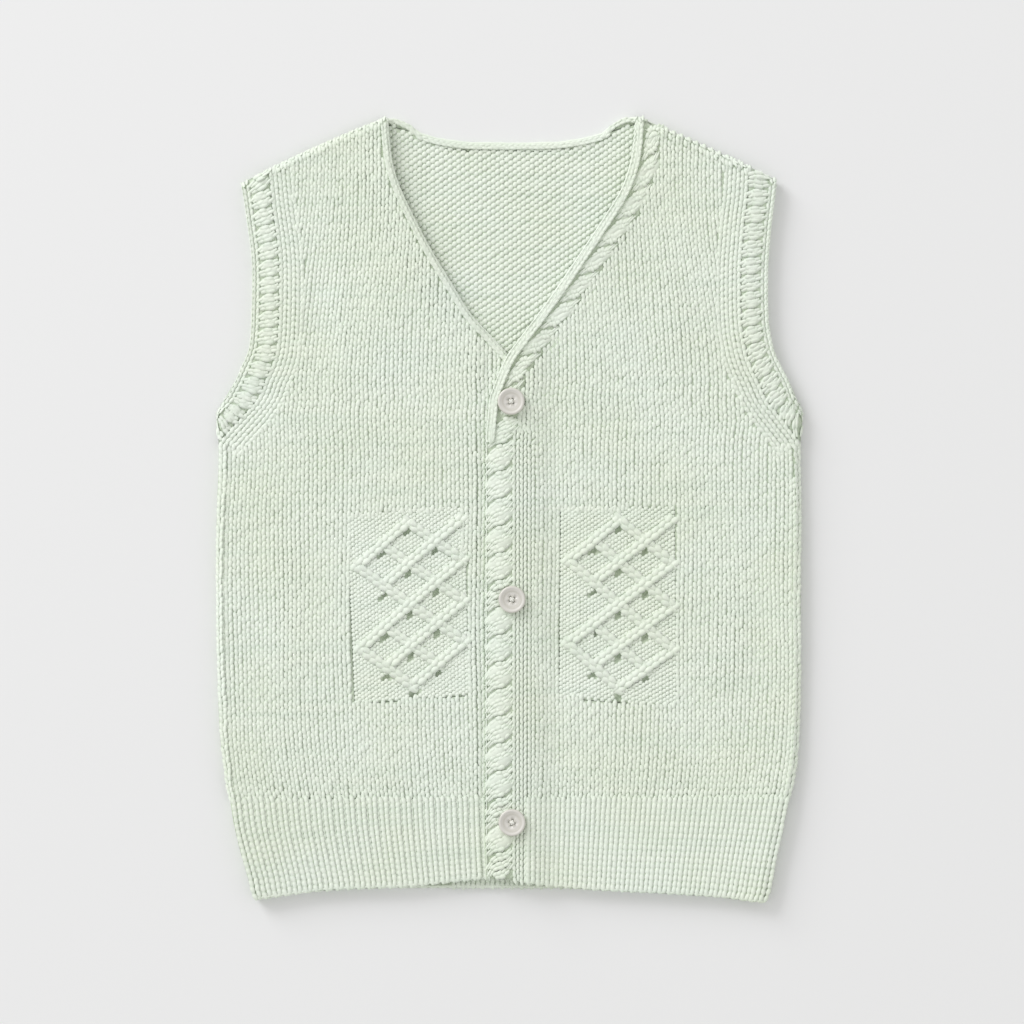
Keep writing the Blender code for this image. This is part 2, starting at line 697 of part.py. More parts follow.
def make_front(side):
    guides = front_guides(side)
    steps = 4 if side > 0 else 3
    cols = FRONT_COLUMNS + spread(2.0, 3.0, steps)[1:]
    lower = spread(0.0, 1.0, 3) + spread(1.0, 2.0, 6)[1:] + spread(2.0, 3.0, 3)[1:]
    rows = lower + [3.0 + k / STATIONS for k in upper_stations(1.0)[1:]]
    panel_rows = range(lower.index(1.0), lower.index(2.0))
    panel_cols = range(cols.index(1.0), cols.index(2.0))

    def plan(v, u):
        points = front_section(side, guides, v)
        k = min(int(u), 2)
        return mix(points[k], points[k + 1], u - k)

    def is_open(r, c):
        return r in panel_rows and c in panel_cols

    plain_wall(FRONT_NAME[side], side, plan, rows, cols, is_open)


def make_lattice_panel(side):
    """Panel with a diamond lattice of cables, the ones that rise to the right stronger."""
    panel = PANELS[side]
    across, down = LATTICE_CELLS
    names = ["outer_top", "inner_top", "outer_bottom", "inner_bottom"]
    outer_top, inner_top, outer_bottom, inner_bottom = [
        panel_corner(side, name, -SEAM_GAP / 2) for name in names]

    def plan(row, col):
        share = col / across if side < 0 else 1.0 - col / across
        return mix(mix(outer_top, inner_top, share), mix(outer_bottom, inner_bottom, share), row / down)

    def relief(row, col):
        rising = (row + col - LATTICE_START[0]) % LATTICE_REPEAT
        falling = (col - row + LATTICE_START[1]) % LATTICE_REPEAT
        heights = {0: 1.0, 1: LATTICE_FLANK, LATTICE_REPEAT - 1: LATTICE_FLANK}
        height = max(CABLE_HEIGHT * heights.get(rising, 0.0), CROSS_HEIGHT * heights.get(falling, 0.0))
        if rising == 0 and falling == 0:
            height += KNOT_HEIGHT
        border = min(row, down - row, col, across - col)
        return height * ease(border / 1.0)

    rows = list(range(down + 1))
    cols = list(range(across + 1))
    plain = (spread(0, down, 6), spread(0, across, 4))
    relief_wall(panel.name, side, plan, (rows, cols), plain, relief)


def make_front_hem(side):
    gap = SEAM_GAP / 2
    seam_y, centre_y = LOWEST_FRONT

    def centre_x(y):
        if side < 0:
            return neck_x(-1, y)
        return neck_x(1, 0.0) + PLACKET_WIDTH + SEAM_GAP

    def plan(row, col):
        share = col / RIBS
        top = RIB_TOP - gap
        seam_low = side_x(side, seam_y)
        x_low = seam_low + (centre_x(centre_y) - seam_low) * share
        y = top + (front_hem_y(x_low) - top) * row
        seam_x = side_x(side, y) - side * gap
        return (seam_x + (centre_x(y) - seam_x) * share, y)

    def relief(row, col):
        covered = side < 0 and plan(row, col)[0] > OVERLAP_EDGE[0]
        crest = col % 1.0 > 0.0 and not covered
        return RIB_HEIGHT - RIB_DEPTH if crest else -RIB_DEPTH

    cols = [rib + phase for rib in range(RIBS) for phase in (0.0, *RIB_CREST)] + [float(RIBS)]
    plain = (spread(0.0, 1.0, 4), HEM_SEAM_COLUMNS + spread(9.0, float(RIBS), 5))
    relief_wall(f"{FRONT_NAME[side]}_hem", side, plan, (spread(0.0, 1.0, 4), cols), plain, relief, MINT_HEM)


def make_back_hem():
    gap = SEAM_GAP / 2
    seam_y = LOWEST_FRONT[0]
    cols = BACK_HEM_COLUMNS + [1.0 - share for share in reversed(BACK_HEM_COLUMNS)]

    def plan(row, share):
        top = RIB_TOP - gap
        x_low = side_x(-1, seam_y) + (side_x(1, seam_y) - side_x(-1, seam_y)) * share
        y = top + (back_hem_y(x_low) - top) * row
        start = side_x(-1, y) + gap
        return (start + (side_x(1, y) - gap - start) * share, y)

    plain_wall("back_hem", 0, plan, spread(0.0, 1.0, 4), cols, colour=MINT_HEM)


def make_back():
    """Back panel: its middle third ends at the neck rim, the outer ones at the shoulders."""
    gap = SEAM_GAP / 2
    corner_y = ARMHOLES[-1].inner(0, SEAM_GAP)[1]
    lower = [RIB_TOP + gap, *BACK_ROWS, corner_y]
    rows = [float(k) for k in range(len(lower))]
    base = rows[-1]
    rows += [base + k for k in upper_stations(1.0)[1:]]
    near_end = RIM_END / RIM_STATIONS
    cols = BACK_SIDE_COLUMNS + spread(1.0, 2.0, RIM_STATIONS) + [1.0 + near_end, 2.0 - near_end]
    cols += BACK_SEAM_COLUMNS + [3.0 - share for share in BACK_SEAM_COLUMNS]
    cols.sort()

    def rim(station):
        """Top of the middle third, just inside the neck rim."""
        base = int(station)
        if station > base:
            return mix(rim(base), rim(base + 1), station - base)
        x, y = back_neck_inner(station)
        if station in (0, RIM_STATIONS):
            side = -1 if station == 0 else 1
            x += side * SEAM_GAP * 2.5
            return (x, shoulder_y(side, x) - SHOULDER_GAP)
        return (x, y - SEAM_GAP * 1.2)

    def points(v):
        k = v - base
        if k <= 0.0:
            low = min(int(v), len(lower) - 2)
            y = lower[low] + (lower[low + 1] - lower[low]) * (v - low)
            left, right = side_x(-1, y) + gap, side_x(1, y) - gap
            third = (right - left) / 3
            return (left, y), (left + third, y), (right - third, y), (right, y)
        ends = [ARMHOLES[side].inner(k, SEAM_GAP) for side in (-1, 1)]
        left, right = side_x(-1, corner_y), side_x(1, corner_y)
        third = (right - left) / 3
        share = k / STATIONS
        inner_left = mix((left + third, corner_y), rim(0), share)
        inner_right = mix((right - third, corner_y), rim(RIM_STATIONS), share)
        return ends[0], inner_left, inner_right, ends[1]

    def plan(v, u):
        section = points(v)
        k = min(int(u), 2)
        x, y = mix(section[k], section[k + 1], u - k)
        share = max(v - base, 0.0) / STATIONS
        if k != 1 or share == 0.0:
            return (x, y)
        straight = mix(rim(0), rim(RIM_STATIONS), u - 1.0)
        top = rim(min(max((u - 1.0) * RIM_STATIONS, 0), RIM_STATIONS))
        return (x + (top[0] - straight[0]) * share, y + (top[1] - straight[1]) * share)

    plain_wall("back", 0, plan, rows, cols)


# ---- buttons

def make_button(button):
    """Turned disc with a raised rim, a dished face and four holes."""
    half = BUTTON_HEIGHT / 2
    angles = [2 * math.pi * k / BUTTON_SEGMENTS for k in range(BUTTON_SEGMENTS)]
    bm = bmesh.new()
    rings = []
    for radius, height in BUTTON_PROFILE:
        r, z = radius * BUTTON_RADIUS, height * half
        if radius == 0.0:
            rings.append([bm.verts.new((0.0, 0.0, z))])
            continue
        rings.append([bm.verts.new((r * math.cos(a), r * math.sin(a), z)) for a in angles])
    for low, high in zip(rings, rings[1:]):
        for k in range(BUTTON_SEGMENTS):
            nxt = (k + 1) % BUTTON_SEGMENTS
            if len(low) == 1:
                bm.faces.new((low[0], high[nxt], high[k]))
            elif len(high) == 1:
                bm.faces.new((low[k], low[nxt], high[0]))
            else:
                bm.faces.new((low[k], low[nxt], high[nxt], high[k]))
    disc = new_object(button.name, bm, PEARL, 0.25)

    cutter_bm = bmesh.new()
    for k in range(4):
        angle = math.pi / 4 + k * math.pi / 2
        made = bmesh.ops.create_cone(cutter_bm, cap_ends=True, segments=8, radius1=BUTTON_HOLE,
                                     radius2=BUTTON_HOLE, depth=BUTTON_HEIGHT * 2)
        reach = BUTTON_HOLE_OFFSET
        bmesh.ops.translate(cutter_bm, verts=made["verts"],
                            vec=(reach * math.cos(angle), reach * math.sin(angle), 0.0))
    cutter = new_object(f"{button.name}_holes", cutter_bm, PEARL, 0.5)
    cutter.hide_render = True
    cutter.display_type = "WIRE"
    cutter.parent = disc

    ground = max(lay(1, button.x + dx, button.y + dy).z
                 for dx in (-BUTTON_RADIUS, 0.0, BUTTON_RADIUS)
                 for dy in (-BUTTON_RADIUS, 0.0, BUTTON_RADIUS))
    height = ground + WALL / 2 + SEAM_GAP + half
    disc.location = Vector((button.x, button.y, height)) * MM
    holes = disc.modifiers.new("holes", "BOOLEAN")
    holes.operation = "DIFFERENCE"
    holes.solver = "EXACT"
    holes.object = cutter


def main():
    for obj in list(bpy.data.objects):
        bpy.data.objects.remove(obj, do_unlink=True)
    make_back()
    make_back_hem()
    make_back_neck_edging()
    for side in (-1, 1):
        make_front(side)
        make_front_hem(side)
        make_lattice_panel(side)
        make_armhole_edging(side)
    make_right_neck_edging()
    make_left_front_edging()
    for button in BUTTONS:
        make_button(button)


main()
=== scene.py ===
# Knitted baby vest laid flat on a pale table, seen from above: +X to the viewer's right, +Y to the neck.
# Left and right are the wearer's, so the right front is at -X. Sizes here are millimetres.

import json
import math
import random
from collections import defaultdict, namedtuple
from functools import partial

import bmesh
import bpy
from mathutils import Vector
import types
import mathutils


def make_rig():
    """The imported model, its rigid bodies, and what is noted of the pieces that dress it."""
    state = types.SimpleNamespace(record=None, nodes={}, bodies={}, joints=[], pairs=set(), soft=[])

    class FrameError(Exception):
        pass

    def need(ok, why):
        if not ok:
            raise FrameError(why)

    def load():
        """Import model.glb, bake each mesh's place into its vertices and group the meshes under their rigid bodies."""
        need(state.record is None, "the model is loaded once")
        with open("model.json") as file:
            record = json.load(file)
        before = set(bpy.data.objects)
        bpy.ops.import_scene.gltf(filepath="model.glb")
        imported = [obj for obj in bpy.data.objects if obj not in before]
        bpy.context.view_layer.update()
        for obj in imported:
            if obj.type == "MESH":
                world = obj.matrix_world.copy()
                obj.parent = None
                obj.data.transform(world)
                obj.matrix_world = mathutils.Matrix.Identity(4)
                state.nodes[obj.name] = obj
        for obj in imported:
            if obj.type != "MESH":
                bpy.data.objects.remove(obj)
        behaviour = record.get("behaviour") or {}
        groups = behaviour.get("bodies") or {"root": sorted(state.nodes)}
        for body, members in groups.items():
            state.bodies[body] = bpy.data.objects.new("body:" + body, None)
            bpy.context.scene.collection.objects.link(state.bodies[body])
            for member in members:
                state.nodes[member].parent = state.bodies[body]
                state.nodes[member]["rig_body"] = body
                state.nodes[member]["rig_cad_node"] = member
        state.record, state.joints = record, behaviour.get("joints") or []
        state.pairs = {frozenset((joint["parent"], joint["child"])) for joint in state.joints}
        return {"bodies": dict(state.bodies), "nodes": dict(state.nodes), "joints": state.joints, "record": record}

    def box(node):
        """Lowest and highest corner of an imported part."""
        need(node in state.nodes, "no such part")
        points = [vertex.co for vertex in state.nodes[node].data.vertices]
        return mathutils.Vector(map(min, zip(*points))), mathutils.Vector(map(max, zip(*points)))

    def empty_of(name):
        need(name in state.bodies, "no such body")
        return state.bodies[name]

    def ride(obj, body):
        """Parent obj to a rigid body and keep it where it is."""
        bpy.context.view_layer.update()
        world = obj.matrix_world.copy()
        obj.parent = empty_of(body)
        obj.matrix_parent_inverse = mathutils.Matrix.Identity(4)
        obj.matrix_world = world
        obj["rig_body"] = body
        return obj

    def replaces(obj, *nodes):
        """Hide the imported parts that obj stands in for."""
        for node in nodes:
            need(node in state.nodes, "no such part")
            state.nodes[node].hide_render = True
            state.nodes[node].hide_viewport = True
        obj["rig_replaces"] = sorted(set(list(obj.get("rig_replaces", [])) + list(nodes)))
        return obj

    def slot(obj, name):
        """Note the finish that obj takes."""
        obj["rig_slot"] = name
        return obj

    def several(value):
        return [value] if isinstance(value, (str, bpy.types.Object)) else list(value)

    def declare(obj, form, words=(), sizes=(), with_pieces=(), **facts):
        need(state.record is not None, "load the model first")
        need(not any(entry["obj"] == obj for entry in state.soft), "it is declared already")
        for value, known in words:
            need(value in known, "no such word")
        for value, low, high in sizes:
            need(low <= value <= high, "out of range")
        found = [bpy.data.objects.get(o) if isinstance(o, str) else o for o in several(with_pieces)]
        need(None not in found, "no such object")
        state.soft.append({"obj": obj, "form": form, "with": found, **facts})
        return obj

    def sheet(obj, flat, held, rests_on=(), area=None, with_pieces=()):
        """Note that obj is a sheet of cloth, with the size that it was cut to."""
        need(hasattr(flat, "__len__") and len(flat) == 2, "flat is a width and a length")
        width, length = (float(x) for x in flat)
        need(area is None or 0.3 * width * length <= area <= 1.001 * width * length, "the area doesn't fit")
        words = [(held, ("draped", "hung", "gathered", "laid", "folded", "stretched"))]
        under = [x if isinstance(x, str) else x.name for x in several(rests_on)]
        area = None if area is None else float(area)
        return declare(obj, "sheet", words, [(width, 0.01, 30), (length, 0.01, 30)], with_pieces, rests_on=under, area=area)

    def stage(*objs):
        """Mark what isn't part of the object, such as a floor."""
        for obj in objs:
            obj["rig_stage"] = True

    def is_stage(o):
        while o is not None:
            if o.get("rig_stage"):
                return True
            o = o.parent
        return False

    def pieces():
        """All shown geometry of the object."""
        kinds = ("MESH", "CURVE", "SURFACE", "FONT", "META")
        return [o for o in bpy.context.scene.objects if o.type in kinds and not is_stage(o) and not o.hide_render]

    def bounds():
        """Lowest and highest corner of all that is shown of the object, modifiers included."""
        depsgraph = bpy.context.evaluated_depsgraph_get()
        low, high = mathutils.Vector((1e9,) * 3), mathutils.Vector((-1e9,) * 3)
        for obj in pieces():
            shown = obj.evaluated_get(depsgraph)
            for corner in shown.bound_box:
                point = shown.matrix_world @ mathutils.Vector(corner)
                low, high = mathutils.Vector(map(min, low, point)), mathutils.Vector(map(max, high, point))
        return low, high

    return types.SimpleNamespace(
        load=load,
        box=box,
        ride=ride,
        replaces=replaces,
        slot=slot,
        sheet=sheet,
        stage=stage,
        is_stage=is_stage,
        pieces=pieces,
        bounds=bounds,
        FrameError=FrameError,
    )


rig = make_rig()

mm = 0.001

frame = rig.load()
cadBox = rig.bounds()
print("frame loaded,", len(frame["nodes"]), "nodes")

# The vest's plan, as it is cut and laid. In what is keyed by side, -1 is the right front and 1 the left.

cloth = {
    "wall": 2.0,                    # thickness
    "seamGap": 0.3,
    "fold": 1.65,                   # radius of the cloth's middle at the side and shoulder seams
    "drape": 0.4,                   # a front lies this much lower inside its seams
    "drapeReach": 22.0,
    "overlapPress": 0.45,           # right front pressed down under the left one
    "overlapRise": 1.95,            # left front climbs over the right one
    "overlapEdge": (-14.0, -11.0),
    "overlapStep": (8.0, 22.0),
    "overlapTop": (72.0, 95.0),
    "neckLift": 1.0,                # the V's edges stand off the back
    "neckLiftFrom": (80.0, 120.0),
    "neckLiftReach": 26.0,
    "underarm": 42.0,
    "armholeOpens": 16.0,
    "hemTop": -129.6,
    "centreHem": -170.2,
}

edging = {
    "armholeWidth": 12.0,
    "armholeCorner": 13.5,          # length of the armhole edging's end along the side seam
    "armholeBlend": 12.0,
    "neckWidth": 12.6,
    "neckLow": {-1: 56.0, 1: 30.0},   # where the V's edging starts
    "placketWidth": 17.0,
    "backNeckWidth": 4.0,
    "placketStations": 16.0,        # steps down the placket
    "shoulderGap": 0.17,
}
stations = 10                       # steps of an edging between its low end and the shoulder

knit = {
    "stitchWidth": 3.75,
    "rowHeight": 2.75,
    "wales": 35,                    # columns of stitches across half of the body
    "shoulderPull": 0.1,            # they draw together by this share up to the shoulder,
    "pullReach": 110.0,             # over this height from the underarm
    "yarnWidth": 2.3,
    "bandWales": 3,                 # columns that follow the armhole
    "edgeOverlap": {-1: -10.6, 1: -1.6},   # where the first column stands, from the V edging's inner line
    "shoulderInset": 0.8,           # the last row stands this far below the shoulder seam
    "foldColumn": 3.7,              # one more column this far in from the side fold
    "foldRow": 2.3,                 # and one more row this far below the shoulder fold
    "highest": 178.0,               # rows are counted up to here
    "shift": (0.17, 0.2),           # how far chance moves a stitch, across and along
    "wander": (0.35, 0.5),          # slow waves of the columns and of the rows
    "hidden": 3.0,                  # the right front shows no stitches this far under the left one,
    "hiddenTo": 75.0,               # up to this height
}


def tableOf(columns, *rows):
    row = namedtuple("row", columns)
    return [row(*values) for values in rows]


sideTable = tableOf(  # outer edge at each height
    "y right left",
    (-176.0, -114.2, 115.3), (-172.0, -116.3, 116.9), (-166.0, -117.6, 118.2), (-156.0, -120.4, 120.2),
    (-143.0, -123.7, 123.1), (-131.0, -125.5, 125.5), (-126.5, -126.7, 126.9), (-113.0, -128.9, 129.1),
    (-99.5, -130.3, 129.9), (-72.5, -131.2, 130.8), (-41.0, -131.5, 130.9), (-5.0, -131.6, 130.8),
    (22.0, -130.6, 130.5), (31.0, -130.8, 130.7), (42.0, -131.4, 131.7), (47.5, -129.0, 129.8),
    (52.7, -125.9, 127.5), (58.0, -122.7, 125.0), (63.5, -120.3, 122.1), (69.0, -117.8, 119.5),
    (74.0, -116.5, 117.9), (85.0, -115.7, 116.2), (106.5, -115.4, 115.9), (116.5, -116.0, 116.5),
    (128.0, -117.6, 117.5), (139.0, -119.1, 118.9), (148.5, -120.6, 119.7))
neckTable = tableOf(  # edge of each front along the V and down the middle
    "y right left",
    (-168.0, 7.0, -6.0), (-164.0, 7.0, -9.2), (-158.0, 7.0, -10.1), (0.0, 7.0, -10.1), (30.0, 7.0, -10.0),
    (40.0, 7.0, -9.2), (49.0, 7.0, -7.9), (56.0, 7.0, -6.0), (60.0, 5.0, -4.6), (68.4, -0.7, -0.7),
    (77.0, -8.4, 5.5), (87.0, -17.6, 13.0), (100.0, -25.8, 22.3), (116.5, -35.8, 33.4), (130.0, -42.9, 42.4),
    (143.5, -49.3, 50.6), (155.0, -52.9, 54.6), (165.0, -54.3, 56.2), (177.0, -55.2, 57.0))
backNeckTable = tableOf(
    "x y",
    (-55.2, 175.7), (-50.0, 173.6), (-45.0, 171.0), (-35.8, 167.4), (-24.0, 165.2), (-13.0, 164.5),
    (8.0, 164.5), (24.5, 165.2), (40.0, 168.2), (46.5, 171.5), (52.0, 174.6), (56.9, 176.3))
frontHemTable = tableOf(
    "x y",
    (-114.0, -175.0), (-111.0, -174.7), (-94.0, -172.4), (-78.0, -170.8), (-49.0, -169.6), (-27.0, -167.4),
    (-9.0, -165.7), (0.0, -166.1), (14.0, -168.6), (41.0, -171.0), (68.0, -172.4), (95.0, -174.2),
    (112.0, -176.3), (115.0, -176.4))
shoulders = dict(zip((-1, 1), tableOf(
    "tipX tipY neckX neckY bulge",
    (-120.4, 146.4, -55.2, 175.9, 1.2),
    (119.7, 147.9, 57.0, 176.4, 0.6))))
creases = tableOf(  # soft troughs and swells of the fronts, as in the frame's solids
    "x yFrom yTo halfWidth lift",
    (-84.0, 40.0, 140.0, 11.0, -0.55),
    (-100.0, 55.0, 125.0, 9.0, 0.35),
    (-55.0, 60.0, 150.0, 16.0, 0.3),
    (74.0, 50.0, 130.0, 14.0, 0.35),
    (95.0, 45.0, 110.0, 8.0, -0.3),
    (24.0, -95.0, 10.0, 7.0, -0.3),
    (-98.0, -110.0, 10.0, 14.0, 0.3),
    (102.0, -100.0, 0.0, 15.0, 0.35),
    (-45.0, -120.0, 20.0, 18.0, 0.25))
panels = dict(zip((-1, 1), tableOf(
    "node topLeft topRight bottomLeft bottomRight",
    ("right_lattice_panel", (-73.1, -2.7), (-20.5, 0.9), (-69.5, -87.6), (-18.4, -83.7)),
    ("left_lattice_panel", (23.0, 0.4), (74.0, 0.4), (22.3, -84.8), (74.9, -88.9)))))
panelSize = (52.8, 86.0)
buttons = tableOf(
    "node x y turn",
    ("button_top", 0.7, 48.2, 8.0),
    ("button_middle", 1.1, -40.5, -12.0),
    ("button_bottom", 1.1, -140.4, 30.0))
buttonRadius = 6.1

sideName = {-1: "right", 1: "left"}
halfWall = cloth["wall"] / 2
seamHeight = halfWall + cloth["fold"]
foldArc = cloth["fold"] * math.pi / 2


def ease(value, start=0.0, end=1.0):
    value = min(max((value - start) / (end - start), 0.0), 1.0)
    return value * value * (3.0 - 2.0 * value)


def mix(a, b, t):
    return tuple(p + (q - p) * t for p, q in zip(a, b))


def spread(start, end, count):
    return [start + (end - start) * i / count for i in range(count + 1)]


def heading(a, b):
    # direction from one plan point to another
    length = math.dist(a, b)
    return (b[0] - a[0]) / length, (b[1] - a[1]) / length


def readCurve(table, column, at):
    # smooth curve through the rows of an outline table, along its first column
    spots = [row[0] for row in table]
    values = [getattr(row, column) for row in table]
    at = min(max(at, spots[0]), spots[-1])
    k = 0
    while k < len(spots) - 2 and at > spots[k + 1]:
        k += 1

    def slope(i):
        low, high = max(i - 1, 0), min(i + 1, len(spots) - 1)
        return (values[high] - values[low]) / (spots[high] - spots[low])

    span = spots[k + 1] - spots[k]
    t = (at - spots[k]) / span
    rise = values[k + 1] - values[k]
    bendA, bendB = slope(k) * span - rise, rise - slope(k + 1) * span
    return values[k] + t * rise + t * (1 - t) * ((1 - t) * bendA + t * bendB)


def sideX(side, y):
    return readCurve(sideTable, sideName[side], y)


def neckX(side, y):
    return readCurve(neckTable, sideName[side], y)


def shoulderY(side, x):
    line = shoulders[side]
    t = (x - line.tipX) / (line.neckX - line.tipX)
    arch = max(4.0 * t * (1.0 - t), -0.5) * line.bulge
    return line.tipY + t * (line.neckY - line.tipY) + arch


def frontHemY(x):
    return readCurve(frontHemTable, "y", x)


def backHemY(x):
    return min(frontHemY(x) + cloth["seamGap"], cloth["centreHem"])


def creaseLift(x, y):
    total = 0.0
    for crease in creases:
        across = (x - crease.x) / crease.halfWidth
        along = (y - (crease.yFrom + crease.yTo) / 2) / ((crease.yTo - crease.yFrom) / 2)
        if abs(across) < 1.0 and abs(along) < 1.0:
            total += crease.lift * (1 - across * across) ** 2 * (1 - along * along) ** 2
    return total


def buttonCalm(x, y, reach=3.0):
    # 0 under a button, 1 at `reach` beyond its rim
    return min(ease((math.hypot(x - button.x, y - button.y) - buttonRadius) / reach) for button in buttons)


def frontHeight(layer, x, y, nearSeam):
    height = seamHeight + cloth["fold"] - cloth["drape"] * (1.0 - nearSeam)
    height += creaseLift(x, y) * (1.0 - nearSeam)
    nearNeck = 1.0 - ease(abs(x - neckX(layer, y)) / cloth["neckLiftReach"])
    height += cloth["neckLift"] * ease(y, *cloth["neckLiftFrom"]) * nearNeck * (1.0 - nearSeam)
    apart = 1.0 - ease(y, *cloth["overlapTop"])
    if layer < 0:
        return height - cloth["overlapPress"] * apart * ease(x, *cloth["overlapEdge"])
    return height + cloth["overlapRise"] * apart * (1.0 - ease(x, *cloth["overlapStep"]))


def lay(layer, x, y):
    # middle of the cloth over plan point (x, y); layer -1 or 1 is a front, 0 the back
    fold = cloth["fold"]
    side = layer or (1 if x > 0 else -1)
    edge = abs(sideX(side, y))
    inside = edge - side * x
    start = ease((y - cloth["underarm"]) / cloth["armholeOpens"]) * math.pi / 2
    centre = edge - (fold + halfWall) * math.cos(start)
    sideTurn = min(start + inside / fold, math.pi / 2)
    past = max(inside - fold * (math.pi / 2 - start), 0.0)
    flatX = side * (centre + fold * math.cos(sideTurn) - past)
    line = shoulders[side]
    slope = math.atan2(line.neckY - line.tipY, abs(line.neckX - line.tipX))
    below = (shoulderY(side, x) - y) * math.cos(slope)
    topTurn = min(below / fold, math.pi / 2)
    shift = below - (fold + halfWall - fold * math.cos(topTurn) + max(below - foldArc, 0.0))
    flatX += side * math.sin(slope) * shift
    flatY = y + math.cos(slope) * shift
    drop = fold * (1 - math.sin(sideTurn)) + fold * (1 - math.sin(topTurn))
    if layer == 0:
        return Vector((flatX, flatY, seamHeight - fold + drop))
    farSide, farTop = [ease((distance - foldArc) / cloth["drapeReach"]) for distance in (inside, below)]
    return Vector((flatX, flatY, frontHeight(layer, x, y, 1.0 - farSide * farTop) - drop))


def surface(layer, x, y, step=0.05):
    # the laid middle and its normal, which points up or out
    across = lay(layer, x + step, y) - lay(layer, x - step, y)
    along = lay(layer, x, y + step) - lay(layer, x, y - step)
    return lay(layer, x, y), across.cross(along).normalized()


def offSurface(layer, x, y, offset):
    point, normal = surface(layer, x, y)
    return point + normal * offset


# Edgings: k runs along one to the shoulder, across goes from its free edge, 0, to the panel, 1.

def makeStrip(side, inward, edgeX, width, lowY, lowArm, highY, blend):
    highArm = (inward * width, shoulderY(side, edgeX(highY) + inward * width) - edging["shoulderGap"] - highY)

    def plan(k, across):
        y = lowY + (highY - lowY) * k / stations
        lean = (edgeX(y + 2.0) - edgeX(y - 2.0)) / 4.0
        length = math.hypot(1.0, lean)
        arm = (inward * width / length, -inward * lean * width / length)
        arm = mix(arm, lowArm, 1.0 - ease((y - lowY) / blend))
        arm = mix(arm, highArm, 1.0 - ease((highY - y) / blend))
        return (edgeX(y) + arm[0] * across, y + arm[1] * across)

    return plan


def armholeStrip(side):
    low, corner = cloth["underarm"], edging["armholeCorner"]
    lowArm = (sideX(side, low - corner) - sideX(side, low), -corner)
    return makeStrip(side, -side, partial(sideX, side), edging["armholeWidth"], low, lowArm,
                     shoulders[side].tipY - edging["shoulderGap"], edging["armholeBlend"])


def neckStrip(side):
    lowArm, blend = ((0.0, -19.4), 14.0) if side < 0 else ((edging["placketWidth"], 0.0), 34.0)
    return makeStrip(side, side, partial(neckX, side), edging["neckWidth"], edging["neckLow"][side], lowArm,
                     shoulders[side].neckY - edging["shoulderGap"], blend)


armholes = {side: armholeStrip(side) for side in (-1, 1)}
necks = {side: neckStrip(side) for side in (-1, 1)}
placketX = neckX(1, 0.0) + edging["placketWidth"]
placketEnd = placketX + 3.0         # the left front's columns start here


def hidden(side, x, y):
    # part of the right front that the left one lies on
    return side < 0 and x > neckX(1, y) + knit["hidden"]


def frontEdgePlan(k, across):
    # the left front's edging: k is -16 at the hem, 0 where the V starts, 10 at the shoulder
    if k >= 0.0:
        return necks[1](k, across)
    share, top = -k / edging["placketStations"], edging["neckLow"][1]
    y = top + (frontHemY(neckX(1, -165.0)) - top) * share
    x = neckX(1, y) + (placketX - neckX(1, y)) * across
    return (x, top + (frontHemY(x) - top) * share)


def backNeckPlan(k, across):
    # along the back neck from the right shoulder to the left one
    first, last = backNeckTable[0], backNeckTable[-1]
    x = first.x + (last.x - first.x) * k / stations
    y = readCurve(backNeckTable, "y", x)
    arm = (0.0, -edging["backNeckWidth"])
    for side, away in ((-1, k), (1, stations - k)):
        armX = side * edging["backNeckWidth"]
        end = (armX, shoulderY(side, x + armX) - edging["shoulderGap"] - y)
        arm = mix(arm, end, 1.0 - ease(away / 1.9))
    return (x + arm[0] * across, y + arm[1] * across)


def walkBand(plan, across, kFrom, kTo, steps=160):
    # distance walked along an edging, with the station reached
    ks = spread(kFrom, kTo, steps)
    spots = [plan(k, across) for k in ks]
    walked = [(0.0, kFrom)]
    for k, last, spot in zip(ks[1:], spots, spots[1:]):
        walked.append((walked[-1][0] + math.dist(last, spot), k))
    return walked


def stationAt(walk, length):
    for (a, ka), (b, kb) in zip(walk, walk[1:]):
        if length <= b:
            return ka + (kb - ka) * max(length - a, 0.0) / (b - a)
    return walk[-1][1]


def edgePlace(layer, plan, k, inset, turn):
    # middle of the cloth `inset` in from a free edge, and the direction `turn` degrees up from straight out
    outer = plan(k, 0.0)
    dx, dy = heading(outer, plan(k, 0.3))
    point, normal = surface(layer, outer[0] + dx * inset, outer[1] + dy * inset)
    further = lay(layer, outer[0] + dx * (inset + 0.5), outer[1] + dy * (inset + 0.5))
    angle = math.radians(turn)
    return point, (point - further).normalized() * math.cos(angle) + normal * math.sin(angle)


def innerLine(plan):
    # an edging's inner edge, run on past the shoulder
    line = [plan(k, 1.0) for k in spread(0.0, stations, 40)]
    return line + [mix(line[-2], line[-1], 5.0)]


def awayFrom(line, x, y):
    # distance of (x, y) from a line that climbs, above 0 on its left
    best = 1e9
    for (ax, ay), (bx, by) in zip(line, line[1:]):
        dx, dy = bx - ax, by - ay
        t = min(max(((x - ax) * dx + (y - ay) * dy) / (dx * dx + dy * dy), 0.0), 1.0)
        gap = math.hypot(x - ax - dx * t, y - ay - dy * t)
        if gap < abs(best):
            best = math.copysign(gap, dx * (y - ay) - dy * (x - ax))
    return best


def alongLine(line, offset, pitch, inward):
    # points every `pitch` along a polyline moved sideways, with their direction
    moved = []
    for (x, y), (ax, ay), (bx, by) in zip(line, line[:1] + line, line[1:] + line[-1:]):
        shift = inward * offset / math.hypot(bx - ax, by - ay)
        moved.append((x + (by - ay) * shift, y - (bx - ax) * shift))
    found = []
    travelled = pitch / 2
    for a, b in zip(moved, moved[1:]):
        length = math.dist(a, b)
        while travelled < length:
            found.append((*mix(a, b, travelled / length), (b[0] - a[0]) / length, (b[1] - a[1]) / length))
            travelled += pitch
        travelled -= length
    return found


# Nodes

